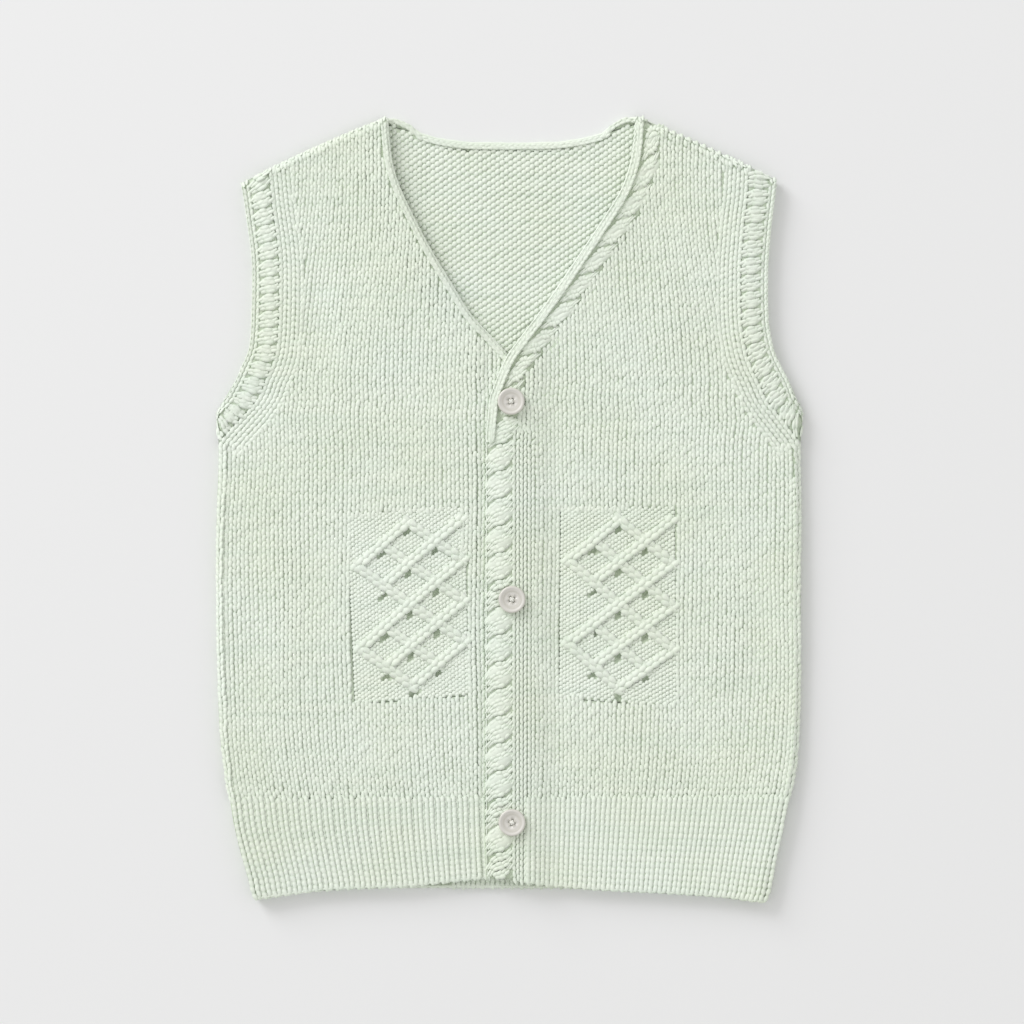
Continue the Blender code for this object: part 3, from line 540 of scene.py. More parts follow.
def hexColour(text):
    # sRGB hex to a linear colour
    channels = [int(text[i:i + 2], 16) / 255 for i in (0, 2, 4)]
    return tuple(c / 12.92 if c <= 0.04045 else ((c + 0.055) / 1.055) ** 2.4 for c in channels) + (1.0,)


def addNode(tree, kind, settings=(), **inputs):
    # settings are the node's own, or its operation; an input is a constant, a socket or a node's first output
    node = tree.nodes.new(kind)
    for key, value in dict({"operation": settings} if isinstance(settings, str) else settings).items():
        setattr(node, key, value)
    for key, value in inputs.items():
        socket = node.inputs[int(key[1:]) if key[1:].isdigit() else key]
        if isinstance(value, bpy.types.Node):
            value = value.outputs[0]
        if isinstance(value, bpy.types.NodeSocket):
            tree.links.new(value, socket)
        else:
            socket.default_value = value
    return node


def newTree(name, inputs):
    common = [("Wobble", "Float", 0.22 * mm), ("Wobble scale", "Float", 500.0), ("Seed", "Float", 1.0),
              ("Yarn", "Material", None)]
    tree = bpy.data.node_groups.new(name, "GeometryNodeTree")
    tree.interface.new_socket("Geometry", in_out="INPUT", socket_type="NodeSocketGeometry")
    for label, kind, value in inputs + common:
        socket = tree.interface.new_socket(label, in_out="INPUT", socket_type="NodeSocket" + kind)
        if value is not None:
            socket.default_value = value
    tree.interface.new_socket("Geometry", in_out="OUTPUT", socket_type="NodeSocketGeometry")
    return tree, partial(addNode, tree), addNode(tree, "NodeGroupInput").outputs


def addTube(add, curve, radius, profile):
    thick = add("GeometryNodeSetCurveRadius", Curve=curve, Radius=radius)
    return add("GeometryNodeCurveToMesh", **{"Curve": thick, "Profile Curve": profile, "Scale": radius,
                                             "Fill Caps": True})


def endTree(add, geometry, given):
    # every tree ends alike: a little unevenness, real meshes above the table, smooth faces, yarn
    real = add("GeometryNodeRealizeInstances", Geometry=geometry)
    spot = add("GeometryNodeInputPosition")
    noise = add("ShaderNodeTexNoise", {"noise_dimensions": "4D"}, Vector=spot, W=given["Seed"],
                Scale=given["Wobble scale"], Detail=1.0)
    centred = add("ShaderNodeVectorMath", "SUBTRACT", i0=noise.outputs["Color"], i1=(0.5, 0.5, 0.5))
    scaled = add("ShaderNodeVectorMath", "SCALE", i0=centred, Scale=given["Wobble"])
    moved = add("GeometryNodeSetPosition", Geometry=real, Offset=scaled)
    lowest = add("ShaderNodeVectorMath", "MAXIMUM", i0=spot, i1=(-9.0, -9.0, 0.0))
    lying = add("GeometryNodeSetPosition", Geometry=moved, Position=lowest)
    smooth = add("GeometryNodeSetShadeSmooth", Geometry=lying)
    add("NodeGroupOutput", i0=add("GeometryNodeSetMaterial", Geometry=smooth, Material=given["Yarn"]))


def makeStitchTree():
    # two strands of yarn set on every point, aligned to its "along" and "up"
    strands, parts = ("First", "Second"), ("start", "middle", "end")
    inputs = [("Yarn width", "Float", 1.5 * mm), ("Taper", "Float", 0.35), ("Sides", "Int", 5),
              ("Steps", "Int", 3)]
    inputs += [(f"{strand} {part}", "Vector", (0.0, 0.0, 0.0)) for strand in strands for part in parts]
    tree, add, given = newTree("twoStrandStitch", inputs)
    half = add("ShaderNodeMath", "MULTIPLY", i0=given["Yarn width"], i1=0.5)
    profile = add("GeometryNodeCurvePrimitiveCircle", Resolution=given["Sides"], Radius=half)
    share = add("GeometryNodeSplineParameter")
    signed = add("ShaderNodeMath", "MULTIPLY_ADD", i0=share.outputs["Factor"], i1=2.0, i2=-1.0)
    squared = add("ShaderNodeMath", "MULTIPLY", i0=signed, i1=signed)
    # Painted shade mask: "high" is 1 at a strand's middle and falls to 0 at its ends, which the yarn material paints
    # darker.
    high = add("ShaderNodeMath", "SUBTRACT", i0=1.0, i1=squared)
    thinned = add("ShaderNodeMath", "MULTIPLY", i0=squared, i1=given["Taper"])
    radius = add("ShaderNodeMath", "SUBTRACT", i0=1.0, i1=thinned)
    both = add("GeometryNodeJoinGeometry")
    for strand in strands:
        curve = add("GeometryNodeCurveQuadraticBezier", Resolution=given["Steps"],
                    **{part.title(): given[f"{strand} {part}"] for part in parts})
        marked = add("GeometryNodeStoreNamedAttribute", {"data_type": "FLOAT", "domain": "POINT"},
                     Geometry=curve, Name="high", Value=high)
        tree.links.new(addTube(add, marked, radius, profile).outputs[0], both.inputs[0])
    along, up, size = [add("GeometryNodeInputNamedAttribute", {"data_type": "FLOAT_VECTOR"}, Name=label)
                       for label in ("along", "up", "size")]
    turn = add("FunctionNodeAxesToRotation", {"primary_axis": "Z", "secondary_axis": "Y"}, i0=up, i1=along)
    placed = add("GeometryNodeInstanceOnPoints", Points=given["Geometry"], Instance=both, Rotation=turn,
                 Scale=size)
    endTree(add, placed, given)
    return tree


def makeYarnTree():
    # a round yarn along every polyline, as thick as its "radius"
    tree, add, given = newTree("yarnAlongPath", [("Sides", "Int", 7)])
    curve = add("GeometryNodeMeshToCurve", Mesh=given["Geometry"])
    radius = add("GeometryNodeInputNamedAttribute", {"data_type": "FLOAT"}, Name="radius")
    profile = add("GeometryNodeCurvePrimitiveCircle", Resolution=given["Sides"], Radius=1.0)
    endTree(add, addTube(add, curve, radius, profile), given)
    return tree


# Pieces. Each lies on the shell of one solid, and gets that solid's slot.

slotWords = {"hem": "knit_rib", "edging": "knit_edging", "lattice": "knit_lattice", "button": "pearl_button"}
carried = defaultdict(list)         # pieces that lie on each solid's shell


def addObject(name, data):
    made = bpy.data.objects.new(name, data)
    bpy.context.scene.collection.objects.link(made)
    return made


def finishPiece(piece, node, replaces=False):
    slots = [slot for word, slot in slotWords.items() if word in node]
    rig.ride(piece, "root")
    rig.slot(piece, slots[0] if slots else "knit_body")
    if replaces:
        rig.replaces(piece, node)
    else:
        carried[node].append(piece)


def growPiece(name, node, carrier, tree, settings):
    # runs a tree on a carrier mesh and keeps the plain result
    planObject = addObject(name + "Plan", carrier)
    modifier = planObject.modifiers.new("grow", "NODES")
    modifier.node_group = tree
    sockets = {item.name: item.identifier for item in tree.interface.items_tree if item.in_out == "INPUT"}
    for label, value in settings.items():
        modifier[sockets[label]] = value
    evaluated = planObject.evaluated_get(bpy.context.evaluated_depsgraph_get())
    mesh = bpy.data.meshes.new_from_object(evaluated)
    planObject.modifiers.clear()
    bpy.data.objects.remove(planObject)
    mesh.name = name
    print(f"  {name}: {sum(len(face.vertices) - 2 for face in mesh.polygons)} triangles")
    finishPiece(addObject(name, mesh), node)


def growStitches(name, node, spots, settings):
    mesh = bpy.data.meshes.new("stitchCarrier")
    mesh.from_pydata([spot.place * mm for spot in spots], [], [])
    for label in ("along", "up", "size"):
        layer = mesh.attributes.new(label, "FLOAT_VECTOR", "POINT")
        layer.data.foreach_set("vector", [c for spot in spots for c in getattr(spot, label)])
    growPiece(name, node, mesh, stitchTree, settings)


def growYarn(name, node, paths, settings):
    # paths: lists of (point, radius, high), where a lower high paints the yarn darker, as painted shade for yarns that
    # lie low
    mesh = bpy.data.meshes.new("yarnCarrier")
    points = [item for path in paths for item in path]
    edges = []
    start = 0
    for path in paths:
        edges += [(start + i, start + i + 1) for i in range(len(path) - 1)]
        start += len(path)
    mesh.from_pydata([point * mm for point, _, _ in points], edges, [])
    for label, column, scale in (("radius", 1, mm), ("high", 2, 1.0)):
        layer = mesh.attributes.new(label, "FLOAT", "POINT")
        layer.data.foreach_set("value", [item[column] * scale for item in points])
    growPiece(name, node, mesh, yarnTree, settings)


# Materials

def newMaterial(name):
    material = bpy.data.materials.new(name)
    material.use_nodes = True
    material.node_tree.nodes.clear()
    return material, partial(addNode, material.node_tree)


def endMaterial(add, look):
    add("ShaderNodeOutputMaterial", Surface=add("ShaderNodeBsdfPrincipled", **look))


def yarnMaterial(name, light, paintedShadeColour, sheen=0.8, knitted=False):
    # Combed cotton and wool yarn, soft spun: matt, faintly downy, a little uneven in its dye.
    # Painted shade: a second, darker colour is mixed in as the "high" attribute falls, towards a strand's ends where
    # it dips between its neighbours, and on yarns that lie low.
    material, add = newMaterial(name)
    place = add("ShaderNodeTexCoord").outputs["Object"]
    course = add("ShaderNodeMapping", Vector=place, Scale=(18.0, 330.0, 60.0))
    streak = add("ShaderNodeTexNoise", Vector=course, Scale=1.0, Detail=2.0)
    patch = add("ShaderNodeTexNoise", Vector=place, Scale=22.0, Detail=3.0)
    fibre = add("ShaderNodeTexNoise", Vector=place, Scale=1400.0, Detail=2.0)   # 0.7 mm, coarser than real fibres
    high = add("ShaderNodeAttribute", {"attribute_name": "high"})
    # Painted shade: the darker colour where "high" is low, the light colour where it is 1.
    colour = add("ShaderNodeMix", {"data_type": "RGBA"}, Factor=high.outputs["Fac"],
                 i6=hexColour(paintedShadeColour), i7=hexColour(light))
    for noise, low, top, share, tint in ((patch, 0.35, 0.65, 0.35, "F7F7E8"), (streak, 0.4, 0.7, 0.4, "EEF4F2")):
        amount = add("ShaderNodeMapRange", Value=noise, i1=low, i2=top, i3=0.0, i4=share)
        colour = add("ShaderNodeMix", {"data_type": "RGBA", "blend_type": "MULTIPLY"}, Factor=amount,
                     i6=colour.outputs[2], i7=hexColour(tint))
    speck = add("ShaderNodeMapRange", Value=fibre, i1=0.3, i2=0.7, i3=0.97, i4=1.03)
    tinted = add("ShaderNodeVectorMath", "SCALE", i0=colour.outputs[2], Scale=speck)
    bump = add("ShaderNodeBump", Height=fibre, Strength=0.25, Distance=0.08 * mm)
    if knitted:
        # the V's of plain knitting, a stitch wide and a row high
        axes = add("ShaderNodeSeparateXYZ", Vector=place)
        column = add("ShaderNodeMath", "PINGPONG", i0=axes, i1=knit["stitchWidth"] / 2 * mm)
        lean = add("ShaderNodeMath", "SUBTRACT", i0=axes.outputs[1], i1=column)
        row = add("ShaderNodeMath", "PINGPONG", i0=lean, i1=knit["rowHeight"] / 2 * mm)
        relief = add("ShaderNodeMath", "MULTIPLY_ADD", i0=column, i1=0.6, i2=row)
        height = add("ShaderNodeMath", "MULTIPLY", i0=relief, i1=1.0 / mm)
        bump.id_data.links.new(add("ShaderNodeBump", Height=height, Strength=0.7, Distance=0.35 * mm).outputs[0],
                               bump.inputs["Normal"])
    endMaterial(add, {"Base Color": tinted.outputs[0], "Roughness": 0.92, "Sheen Weight": sheen,
                      "Sheen Roughness": 0.5, "Specular IOR Level": 0.2, "Normal": bump.outputs[0]})
    return material


# Painted shade: the second, darker colour goes where strands dip and on yarns that lie low.
mintYarn = yarnMaterial("mintCottonYarn", "ECF3E8", "DFE9DA")
# Painted shade: the ground under the stitches is darker than the yarn, so the gaps between stitches and the slits
# under the cable crossings read as shaded.
shadedMintGround = yarnMaterial("mintCottonGround", "CFDBC7", "CFDBC7", sheen=0.1, knitted=True)

# Stitches

stitchTree, yarnTree = makeStitchTree(), makeYarnTree()
chance = random.Random(7)
stitchSpot = namedtuple("stitchSpot", "place along up size")

# foot, top, tuck, bow, reach and stagger of a stitch's V
plainShape = (0.18, 0.33, 0.4, 0.5, 0.56, 0.22)
ribShape = (0.2, 0.29, 0.25, 0.3, 0.66, 0.1)
lumpShape = (0.2, 0.27, 0.2, 0.35, 0.62, 0.12)
cableShape = (0.15, 0.25, 0.3, 0.45, 0.6, 0.25)


def strandSettings(yarn, taper, seed, strands, **more):
    # strands: the start, middle and end of each of the two
    settings = {"Yarn width": yarn * mm, "Taper": taper, "Seed": float(seed), "Yarn": mintYarn, **more}
    for strand, points in zip(("First", "Second"), strands):
        for part, point in zip(("start", "middle", "end"), points):
            settings[f"{strand} {part}"] = tuple(c * mm for c in point)
    return settings


def stitchSettings(width, row, yarn, seed, shape=plainShape, taper=0.5):
    # a knit stitch's V: feet close together and tucked in, tops spread to the next columns
    foot, top, tuck, bow, reach, stagger = shape
    strands = []
    for sign in (1, -1):
        shift = sign * stagger * row
        strands.append(((sign * foot * width, shift - row * reach, -tuck),
                        (sign * (foot * 0.6 + top * 0.4) * width, shift + 0.1 * row, bow),
                        (sign * top * width, shift + row * reach, -tuck)))
    return strandSettings(yarn, taper, seed, strands)


def purlSettings(width, row, yarn, seed):
    # the wrong side of a stitch: its two bars lean the same way, the second half a stitch on and up
    strands = [(((shift - 0.22) * width, (shift - 0.3) * row, -0.35), (shift * width, (shift + 0.1) * row, 0.5),
                ((shift + 0.22) * width, (shift + 0.3) * row, -0.35)) for shift in (0.0, 0.5)]
    return strandSettings(yarn, 0.65, seed, strands)


def yarnSettings(seed):
    return {"Seed": float(seed), "Yarn": mintYarn, "Wobble": 0.4 * mm, "Wobble scale": 450.0}


def spotAt(layer, x, y, dx, dy, lift, size):
    point, normal = surface(layer, x, y)
    ahead = lay(layer, x + dx * 0.2, y + dy * 0.2) - point
    return stitchSpot(point + normal * (halfWall + lift), ahead.normalized(), normal, size)


def unevenSize(span=1.0, rise=1.0):
    # the yarn is pressed flat, some of it more
    return (span * chance.uniform(0.93, 1.07), rise * chance.uniform(0.93, 1.07), chance.uniform(0.2, 0.32))


# Shells: thin cloth on the form of each solid, sunk under its stitches, most in the darker ground colour that paints
# shade into the gaps

def addShell(node, mesh, material=shadedMintGround, suffix="_ground"):
    mesh.name = node + suffix
    mesh.materials.clear()
    mesh.materials.append(material)
    mesh.shade_smooth()
    return addObject(node + suffix, mesh)


def baseShell(node, sink):
    mesh = frame["nodes"][node].data.copy()
    bm = bmesh.new()
    bm.from_mesh(mesh)
    bmesh.ops.remove_doubles(bm, verts=bm.verts, dist=0.01 * mm)
    bm.normal_update()
    for vert in bm.verts:
        if vert.normal.z > 0.3 and vert.co.z > 0.5 * mm:
            vert.co.z -= sink * mm
    bm.to_mesh(mesh)
    bm.free()
    finishPiece(addShell(node, mesh), node, True)


def stripShell(node, layer, plan, ks, acrosses, sinkAt):
    # the same without the solid's relief: top and bottom grids and the four walls
    bm = bmesh.new()
    faces = []
    for top in (True, False):
        grid = [[plan(k, across) for across in acrosses] for k in ks]
        faces.append([[bm.verts.new(offSurface(layer, x, y, halfWall - sinkAt(x, y) if top else -halfWall) * mm)
                       for x, y in row] for row in grid])
    for verts, flip in zip(faces, (False, True)):
        for r in range(len(ks) - 1):
            for c in range(len(acrosses) - 1):
                quad = [verts[r][c], verts[r][c + 1], verts[r + 1][c + 1], verts[r + 1][c]]
                bm.faces.new(quad[::-1] if flip else quad)
    top, bottom = [[row[0] for row in verts] + verts[-1][1:] + [row[-1] for row in reversed(verts[:-1])]
                   + list(reversed(verts[0][1:-1])) for verts in faces]
    for i in range(len(top)):
        j = (i + 1) % len(top)
        bm.faces.new([top[i], top[j], bottom[j], bottom[i]])
    bmesh.ops.recalc_face_normals(bm, faces=bm.faces)
    mesh = bpy.data.meshes.new(node)
    bm.to_mesh(mesh)
    bm.free()
    finishPiece(addShell(node, mesh), node, True)


# Fronts

def waleEdge(side, y):
    # half width that the columns of stitches spread over
    underarm = cloth["underarm"]
    if y <= underarm:
        return abs(sideX(side, y))
    return abs(sideX(side, underarm)) * (1.0 - knit["shoulderPull"] * ease((y - underarm) / knit["pullReach"]))


def panelPoint(side, across, down):
    # across from the viewer's left, down from the top
    panel = panels[side]
    return mix(mix(panel.topLeft, panel.topRight, across), mix(panel.bottomLeft, panel.bottomRight, across), down)


def insidePanel(side, x, y, margin):
    down = (panelPoint(side, 0.5, 0.0)[1] - y) / panelSize[1]
    left, right = panelPoint(side, 0.0, down)[0], panelPoint(side, 1.0, down)[0]
    across = (x - left) / (right - left)
    top, bottom = panelPoint(side, across, 0.0)[1], panelPoint(side, across, 1.0)[1]
    return left + margin < x < right - margin and bottom + margin < y < top - margin


def bodySpots(side):
    spots = []
    width, row, wales, low = knit["stitchWidth"], knit["rowHeight"], knit["wales"], cloth["hemTop"]
    inset, band = knit["shoulderInset"], knit["bandWales"] * knit["stitchWidth"]
    armLine, neckLine = innerLine(armholes[side]), innerLine(necks[side])
    armLow, neckLow = armLine[0][1], edging["neckLow"][side]
    rows = int((knit["highest"] - low) / row)
    (shiftX, shiftY), (waveX, waveY) = knit["shift"], knit["wander"]

    def underEdging(x, y):
        return -side * awayFrom(neckLine, x, y) < knit["edgeOverlap"][side]

    for r in range(rows):
        for wale in range(wales):
            y = low + (r + 0.1) * row
            share = (wale + 0.5) / wales
            x = side * waleEdge(side, y) * share
            y += waveY * math.sin(x * 0.045 + side) + chance.uniform(-shiftY, shiftY)
            x += waveX * math.sin(y * 0.06 + wale * 0.4) + chance.uniform(-shiftX, shiftX)
            seam = shoulderY(side, x) - inset
            if y > seam + row:
                continue
            y = min(y, seam)
            if side > 0 and x < placketEnd and y < neckLow + 5.0 or y < knit["hiddenTo"] and hidden(side, x, y):
                continue
            if y > armLow and side * awayFrom(armLine, x, y) < band - 0.8:
                continue
            if y > neckLow - 20.0 and underEdging(x, y) or insidePanel(side, x, y, 0.6):
                continue
            lean = side * (waleEdge(side, y + 1.0) - waleEdge(side, y - 1.0)) * share / 2.0
            tilt = chance.uniform(-0.06, 0.06)
            span = waleEdge(side, y) / wales / width
            spots.append(spotAt(side, x, y, lean + tilt, 1.0, chance.uniform(-0.12, 0.12), unevenSize(span)))
    for r in range(rows):
        # the cloth's outside is longer at the side fold: one more column there
        y = low + (r + 0.6) * row
        if y < armLow - edging["armholeCorner"]:
            x = side * (waleEdge(side, y) - knit["foldColumn"])
            spots.append(spotAt(side, x, y, 0.0, 1.0, -0.08, unevenSize(0.8)))
    for wale in range(wales):
        # and one more row at the shoulder fold
        x = side * waleEdge(side, 160.0) * ((wale + 0.5) / wales)
        y = shoulderY(side, x) - knit["foldRow"]
        if y > armLow and side * awayFrom(armLine, x, y) > -0.8 and not underEdging(x, y):
            spots.append(spotAt(side, x, y, 0.0, 1.0, 0.0, unevenSize(0.93)))
    for wale in range(knit["bandWales"]):
        for x, y, dx, dy in alongLine(armLine, (wale + 0.5) * width, row, -side):
            seam = shoulderY(side, x) - inset
            if y < seam + row:
                spots.append(spotAt(side, x, min(y, seam), dx, dy, chance.uniform(-0.08, 0.08), unevenSize()))
    return spots


print("fronts")
for side in (-1, 1):
    node = sideName[side] + "_front"
    growStitches(node + "_stitches", node, bodySpots(side),
                 stitchSettings(knit["stitchWidth"], knit["rowHeight"], knit["yarnWidth"], 3 + side))
    baseShell(node, 0.2)

# Hems

hem = {
    "ribs": 26,                     # ribs across one front
    "length": 41.0,
    "row": 2.6,
    "stitch": 4.6,
    "yarn": 2.5,
    "backPitch": 4.4,
}


def hemPlan(side, row, share):
    gap = cloth["seamGap"] / 2
    top = cloth["hemTop"] - gap
    centreX = partial(neckX, -1) if side < 0 else lambda y: placketX + cloth["seamGap"]
    seamLow = sideX(side, -173.0)
    xLow = seamLow + (centreX(-165.0) - seamLow) * share
    y = top + (frontHemY(xLow) - top) * row
    seamX = sideX(side, y) - side * gap
    return (seamX + (centreX(y) - seamX) * share, y)


def hemSpots(side):
    spots = []
    rows = round(hem["length"] / hem["row"])
    for rib in range(hem["ribs"]):
        for r in range(rows):
            here, above = [hemPlan(side, (r + part) / rows, (rib + 0.5) / hem["ribs"]) for part in (0.35, 0.25)]
            if not hidden(side, *here):
                spots.append(spotAt(side, *here, *heading(here, above), 0.3, unevenSize()))
    return spots


def hemPurls(side):
    # the purl columns between the ribs, low and beaded
    paths = []
    rows = round(2.0 * hem["length"] / hem["row"])      # two beads a row
    for rib in range(1, hem["ribs"]):
        path = []
        for r in range(rows + 1):
            x, y = hemPlan(side, 0.01 + 0.97 * r / rows, rib / hem["ribs"])
            if hidden(side, x, y):
                continue
            radius = (0.95 if r % 2 else 0.7) * chance.uniform(0.92, 1.08)
            # Painted shade: the low purl columns take the half-dark yarn colour.
            path.append((offSurface(side, x, y, halfWall - 0.55), radius, 0.5))
        if len(path) > 2:
            paths.append(path)
    return paths


def bindOff(layer, edge, count, level, thick):
    # the last row, cast off: a yarn along the hem's lower edge that swells at every rib
    path = []
    for i in range(count * 4 + 1):
        x, y = edge(i / (count * 4))
        swell = 0.5 - 0.5 * math.cos(math.pi * i / 2)
        radius = thick * (0.85 + 0.15 * swell) * chance.uniform(0.95, 1.05)
        # Painted shade: high 0.7 paints the bind-off yarn a little darker.
        path.append((offSurface(layer, x, y - (0.35 * swell - 0.9), level), radius, 0.7))
    return path


def ribSettings(seed):
    return stitchSettings(hem["stitch"], hem["row"], hem["yarn"], seed, ribShape)


print("hems")
for side in (-1, 1):
    name, node = sideName[side] + "_hem", sideName[side] + "_front_hem"
    growStitches(name + "_stitches", node, hemSpots(side), ribSettings(11 + side))
    growYarn(name + "_purls", node, hemPurls(side), yarnSettings(17 + side))
    lowEdge = [bindOff(side, lambda share: hemPlan(side, 1.0, share), hem["ribs"], level, 1.05)
               for level in (0.45, -0.2)]
    growYarn(name + "_bind", node, lowEdge, yarnSettings(15 + side))
    baseShell(node, 0.25)

# Back, its purl side in the neck opening

inside = {
    "width": 3.89,
    "row": 2.75,
    "yarn": 2.9,
    "firstRow": 62.0,
    "low": 66.0,                    # lowest stitch that shows
    "slant": 0.03,                  # the rows fall to the viewer's right
    "rimFrom": 150.0,
    "rimWidth": 3.2,
}


def backSpots():
    spots = []
    rim = [(spot.x, spot.y) for spot in backNeckTable]
    for r in range(60):
        for c in range(-20, 21):
            x = c * inside["width"] + 0.6 + chance.uniform(-0.12, 0.12)
            y = inside["firstRow"] + r * inside["row"] - inside["slant"] * x + chance.uniform(-0.15, 0.15)
            if y < inside["low"] or (y > inside["rimFrom"] and -awayFrom(rim, x, y) < inside["rimWidth"]):
                continue
            if neckX(-1, y) - 6.0 < x < neckX(1, y) + 6.0:
                spots.append(spotAt(0, x, y, inside["slant"], 1.0, 0.1, unevenSize()))
    return spots


def backHemSpots():
    # inside of the back's hem, as far as it shows below the fronts
    spots = []
    for rib in range(-6, 9):
        for r in range(5):
            x = (rib + 0.5) * hem["backPitch"]
            spots.append(spotAt(0, x, backHemY(x) + 1.3 + r * hem["row"], 0.0, 1.0, -0.05, unevenSize()))
    return spots


def backHemEdge(share):
    x = -112.0 + 226.0 * share
    return x, backHemY(x)


print("back")
growStitches("back_inside_stitches", "back", backSpots(),
             purlSettings(inside["width"], inside["row"], inside["yarn"], 21))
baseShell("back", 0.0)
growStitches("back_hem_stitches", "back_hem", backHemSpots(), ribSettings(23))
growYarn("back_hem_bind", "back_hem", [bindOff(0, backHemEdge, 51, level, 1.0) for level in (0.35, -0.1)],
         yarnSettings(24))
baseShell("back_hem", 0.2)

# Edgings: a rolled rim along the free edge, then lumps like the strands of a rope

armholeTwist = {
    "pitch": 7.9,
    "columns": 2,                   # columns of stitches in a lump
    "rows": 3,
    "rise": 0.38,                   # how far a lump climbs across the edging, in pitches
    "curl": 0.08,
    "gap": 0.22,                    # share of the pitch that the crease between two lumps takes at its ends
    "lift": 0.75,
    "tilt": 0.3,                    # the outer columns lean into the crease
    "plump": 3.0,                   # thickness of the cushion under a lump
    "cushionSink": 1.15,
    "leastWidth": 1.6,              # a narrower stitch is left out
}
neckTwist = dict(armholeTwist, pitch=14.7, rows=8, rise=1.5, curl=0.1, lift=0.5)
placketTwist = dict(armholeTwist, pitch=12.3, columns=3, rows=5, rise=0.75, curl=0.1)

rims = {  # columns of stitches: distance in from the edge, turn up from straight out, width, height
    "armhole": ((1.75, 90.0, 0.95, 0.9), (0.9, 10.0, 0.6, 0.9)),
    "armholeBack": ((1.75, 90.0, 0.95, 0.9), (0.9, -10.0, 0.55, 0.9)),
    "rightNeck": ((1.8, 85.0, 0.75, 1.6), (1.2, 15.0, 0.6, 1.55)),
    "leftNeck": ((2.2, 85.0, 0.85, 1.75), (1.3, 15.0, 0.65, 1.65)),
    "backNeck": ((1.8, 85.0, 0.75, 1.6),),
    "placket": ((0.9, 5.0, 0.55, 0.9),),
}
rimCores = {  # yarns under them: distance in, turn, radius
    "narrow": ((1.2, 20.0, 1.05), (1.8, 90.0, 1.1)),
    "wide": ((1.3, 20.0, 1.2), (2.2, 90.0, 1.25)),
}


def twistSpots(layer, plan, kFrom, kTo, inward, span, twist):
    # lumps of stitches, slanting across an edging from its low to its high side
    walk = walkBand(plan, 0.6, kFrom, kTo)
    total = walk[-1][0]
    count = max(round(total / twist["pitch"]), 1)
    pitch = total / count

    def planSpot(lump, phase, s):
        swing = s - 0.5 + twist["curl"] * math.sin(2.0 * math.pi * s)
        fill = 1.0 - twist["gap"] * abs(2.0 * s - 1.0)
        along = (lump + 0.5 + phase * fill + inward * twist["rise"] * swing) * pitch
        k = stationAt(walk, min(max(along, 0.0), total))
        low, high = span(k)
        return along, plan(k, low + (high - low) * s)

    spots, cushions = [], []
    for lump in range(-2, count + 2):
        plump = chance.uniform(0.8, 1.15)
        along, (x, y) = planSpot(lump, 0.0, 0.5)
        low, high = planSpot(lump, 0.0, 0.08)[1], planSpot(lump, 0.0, 0.92)[1]
        length = math.dist(low, high)
        dx, dy = (high[0] - low[0]) / length, (high[1] - low[1]) / length
        nextX, nextY = planSpot(lump + 1, 0.0, 0.5)[1]
        wide = abs(dx * (nextY - y) - dy * (nextX - x)) * 1.02
        if 0.9 * pitch <= along <= total - 0.35 * pitch:
            calm = buttonCalm(x, y) if layer > 0 else 1.0
            size = (wide, length, twist["plump"] * plump * (0.6 + 0.4 * calm))
            cushions.append(spotAt(layer, x, y, dx, dy, twist["lift"] * calm - twist["cushionSink"], size))
        for column in range(twist["columns"]):
            phase = (column + 0.5) / twist["columns"] - 0.5
            for row in range(twist["rows"]):
                s = (row + 0.5) / twist["rows"]
                along, (x, y) = planSpot(lump, phase, s)
                if not 0.8 <= along <= total - 0.8:
                    continue
                ahead, beside = planSpot(lump, phase, s + 0.05)[1], planSpot(lump, phase + 0.1, s)[1]
                dx, dy = ahead[0] - x, ahead[1] - y
                length = math.hypot(dx, dy)
                across = abs(dx * (beside[1] - y) - dy * (beside[0] - x)) / length * 10.0 / twist["columns"]
                if across < twist["leastWidth"]:
                    continue
                end = abs(2.0 * s - 1.0)
                crease = (0.3 + 0.6 * end) * 4.0 * phase * phase
                calm = buttonCalm(x, y) if layer > 0 else 1.0
                lift = twist["lift"] * plump * (1.0 - crease) * math.sin(math.pi * s) ** 0.6 * calm
                size = unevenSize(across / knit["stitchWidth"], length * 20.0 / twist["rows"] / knit["rowHeight"])
                spot = spotAt(layer, x, y, dx / length, dy / length, lift - 0.34, size)
                lean = (offSurface(layer, *beside, 0.0) - offSurface(layer, x, y, 0.0)).normalized()
                up = (spot.up + lean * twist["tilt"] * 2.0 * phase * end).normalized()
                spots.append(spot._replace(up=up))
    return spots, cushions


def rimPaths(layer, plan, cores):
    walk = walkBand(plan, 0.0, 0.0, stations)
    count = max(round(walk[-1][0] / 2.4), 2)
    paths = []
    for inset, turn, radius in cores:
        path = []
        for length in spread(0.0, walk[-1][0], count):
            point, up = edgePlace(layer, plan, stationAt(walk, length), inset, turn)
            place = point + up * (halfWall - 0.25 + chance.uniform(-0.07, 0.07))
            # Painted shade: high 0.8 paints the rim's cores a little darker.
            path.append((place, radius * chance.uniform(0.84, 1.14), 0.8))
        paths.append(path)
    return paths


def rimSpots(layer, plan, columns, kFrom=0.0, kTo=stations):
    walk = walkBand(plan, 0.0, kFrom, kTo)
    count = max(round(walk[-1][0] / 2.6), 1)
    spots = []
    for inset, turn, wide, away in columns:
        for i in range(count):
            k, further = [stationAt(walk, walk[-1][0] * (i + part) / count) for part in (0.5, 0.7)]
            point, up = edgePlace(layer, plan, k, inset, turn)
            ahead = edgePlace(layer, plan, further, inset, turn)[0] - point
            spots.append(stitchSpot(point + up * away, ahead.normalized(), up, unevenSize(wide)))
    return spots


def growRim(name, node, spots, seed):
    growStitches(name, node, spots, stitchSettings(3.5, 2.6, 1.9, seed))


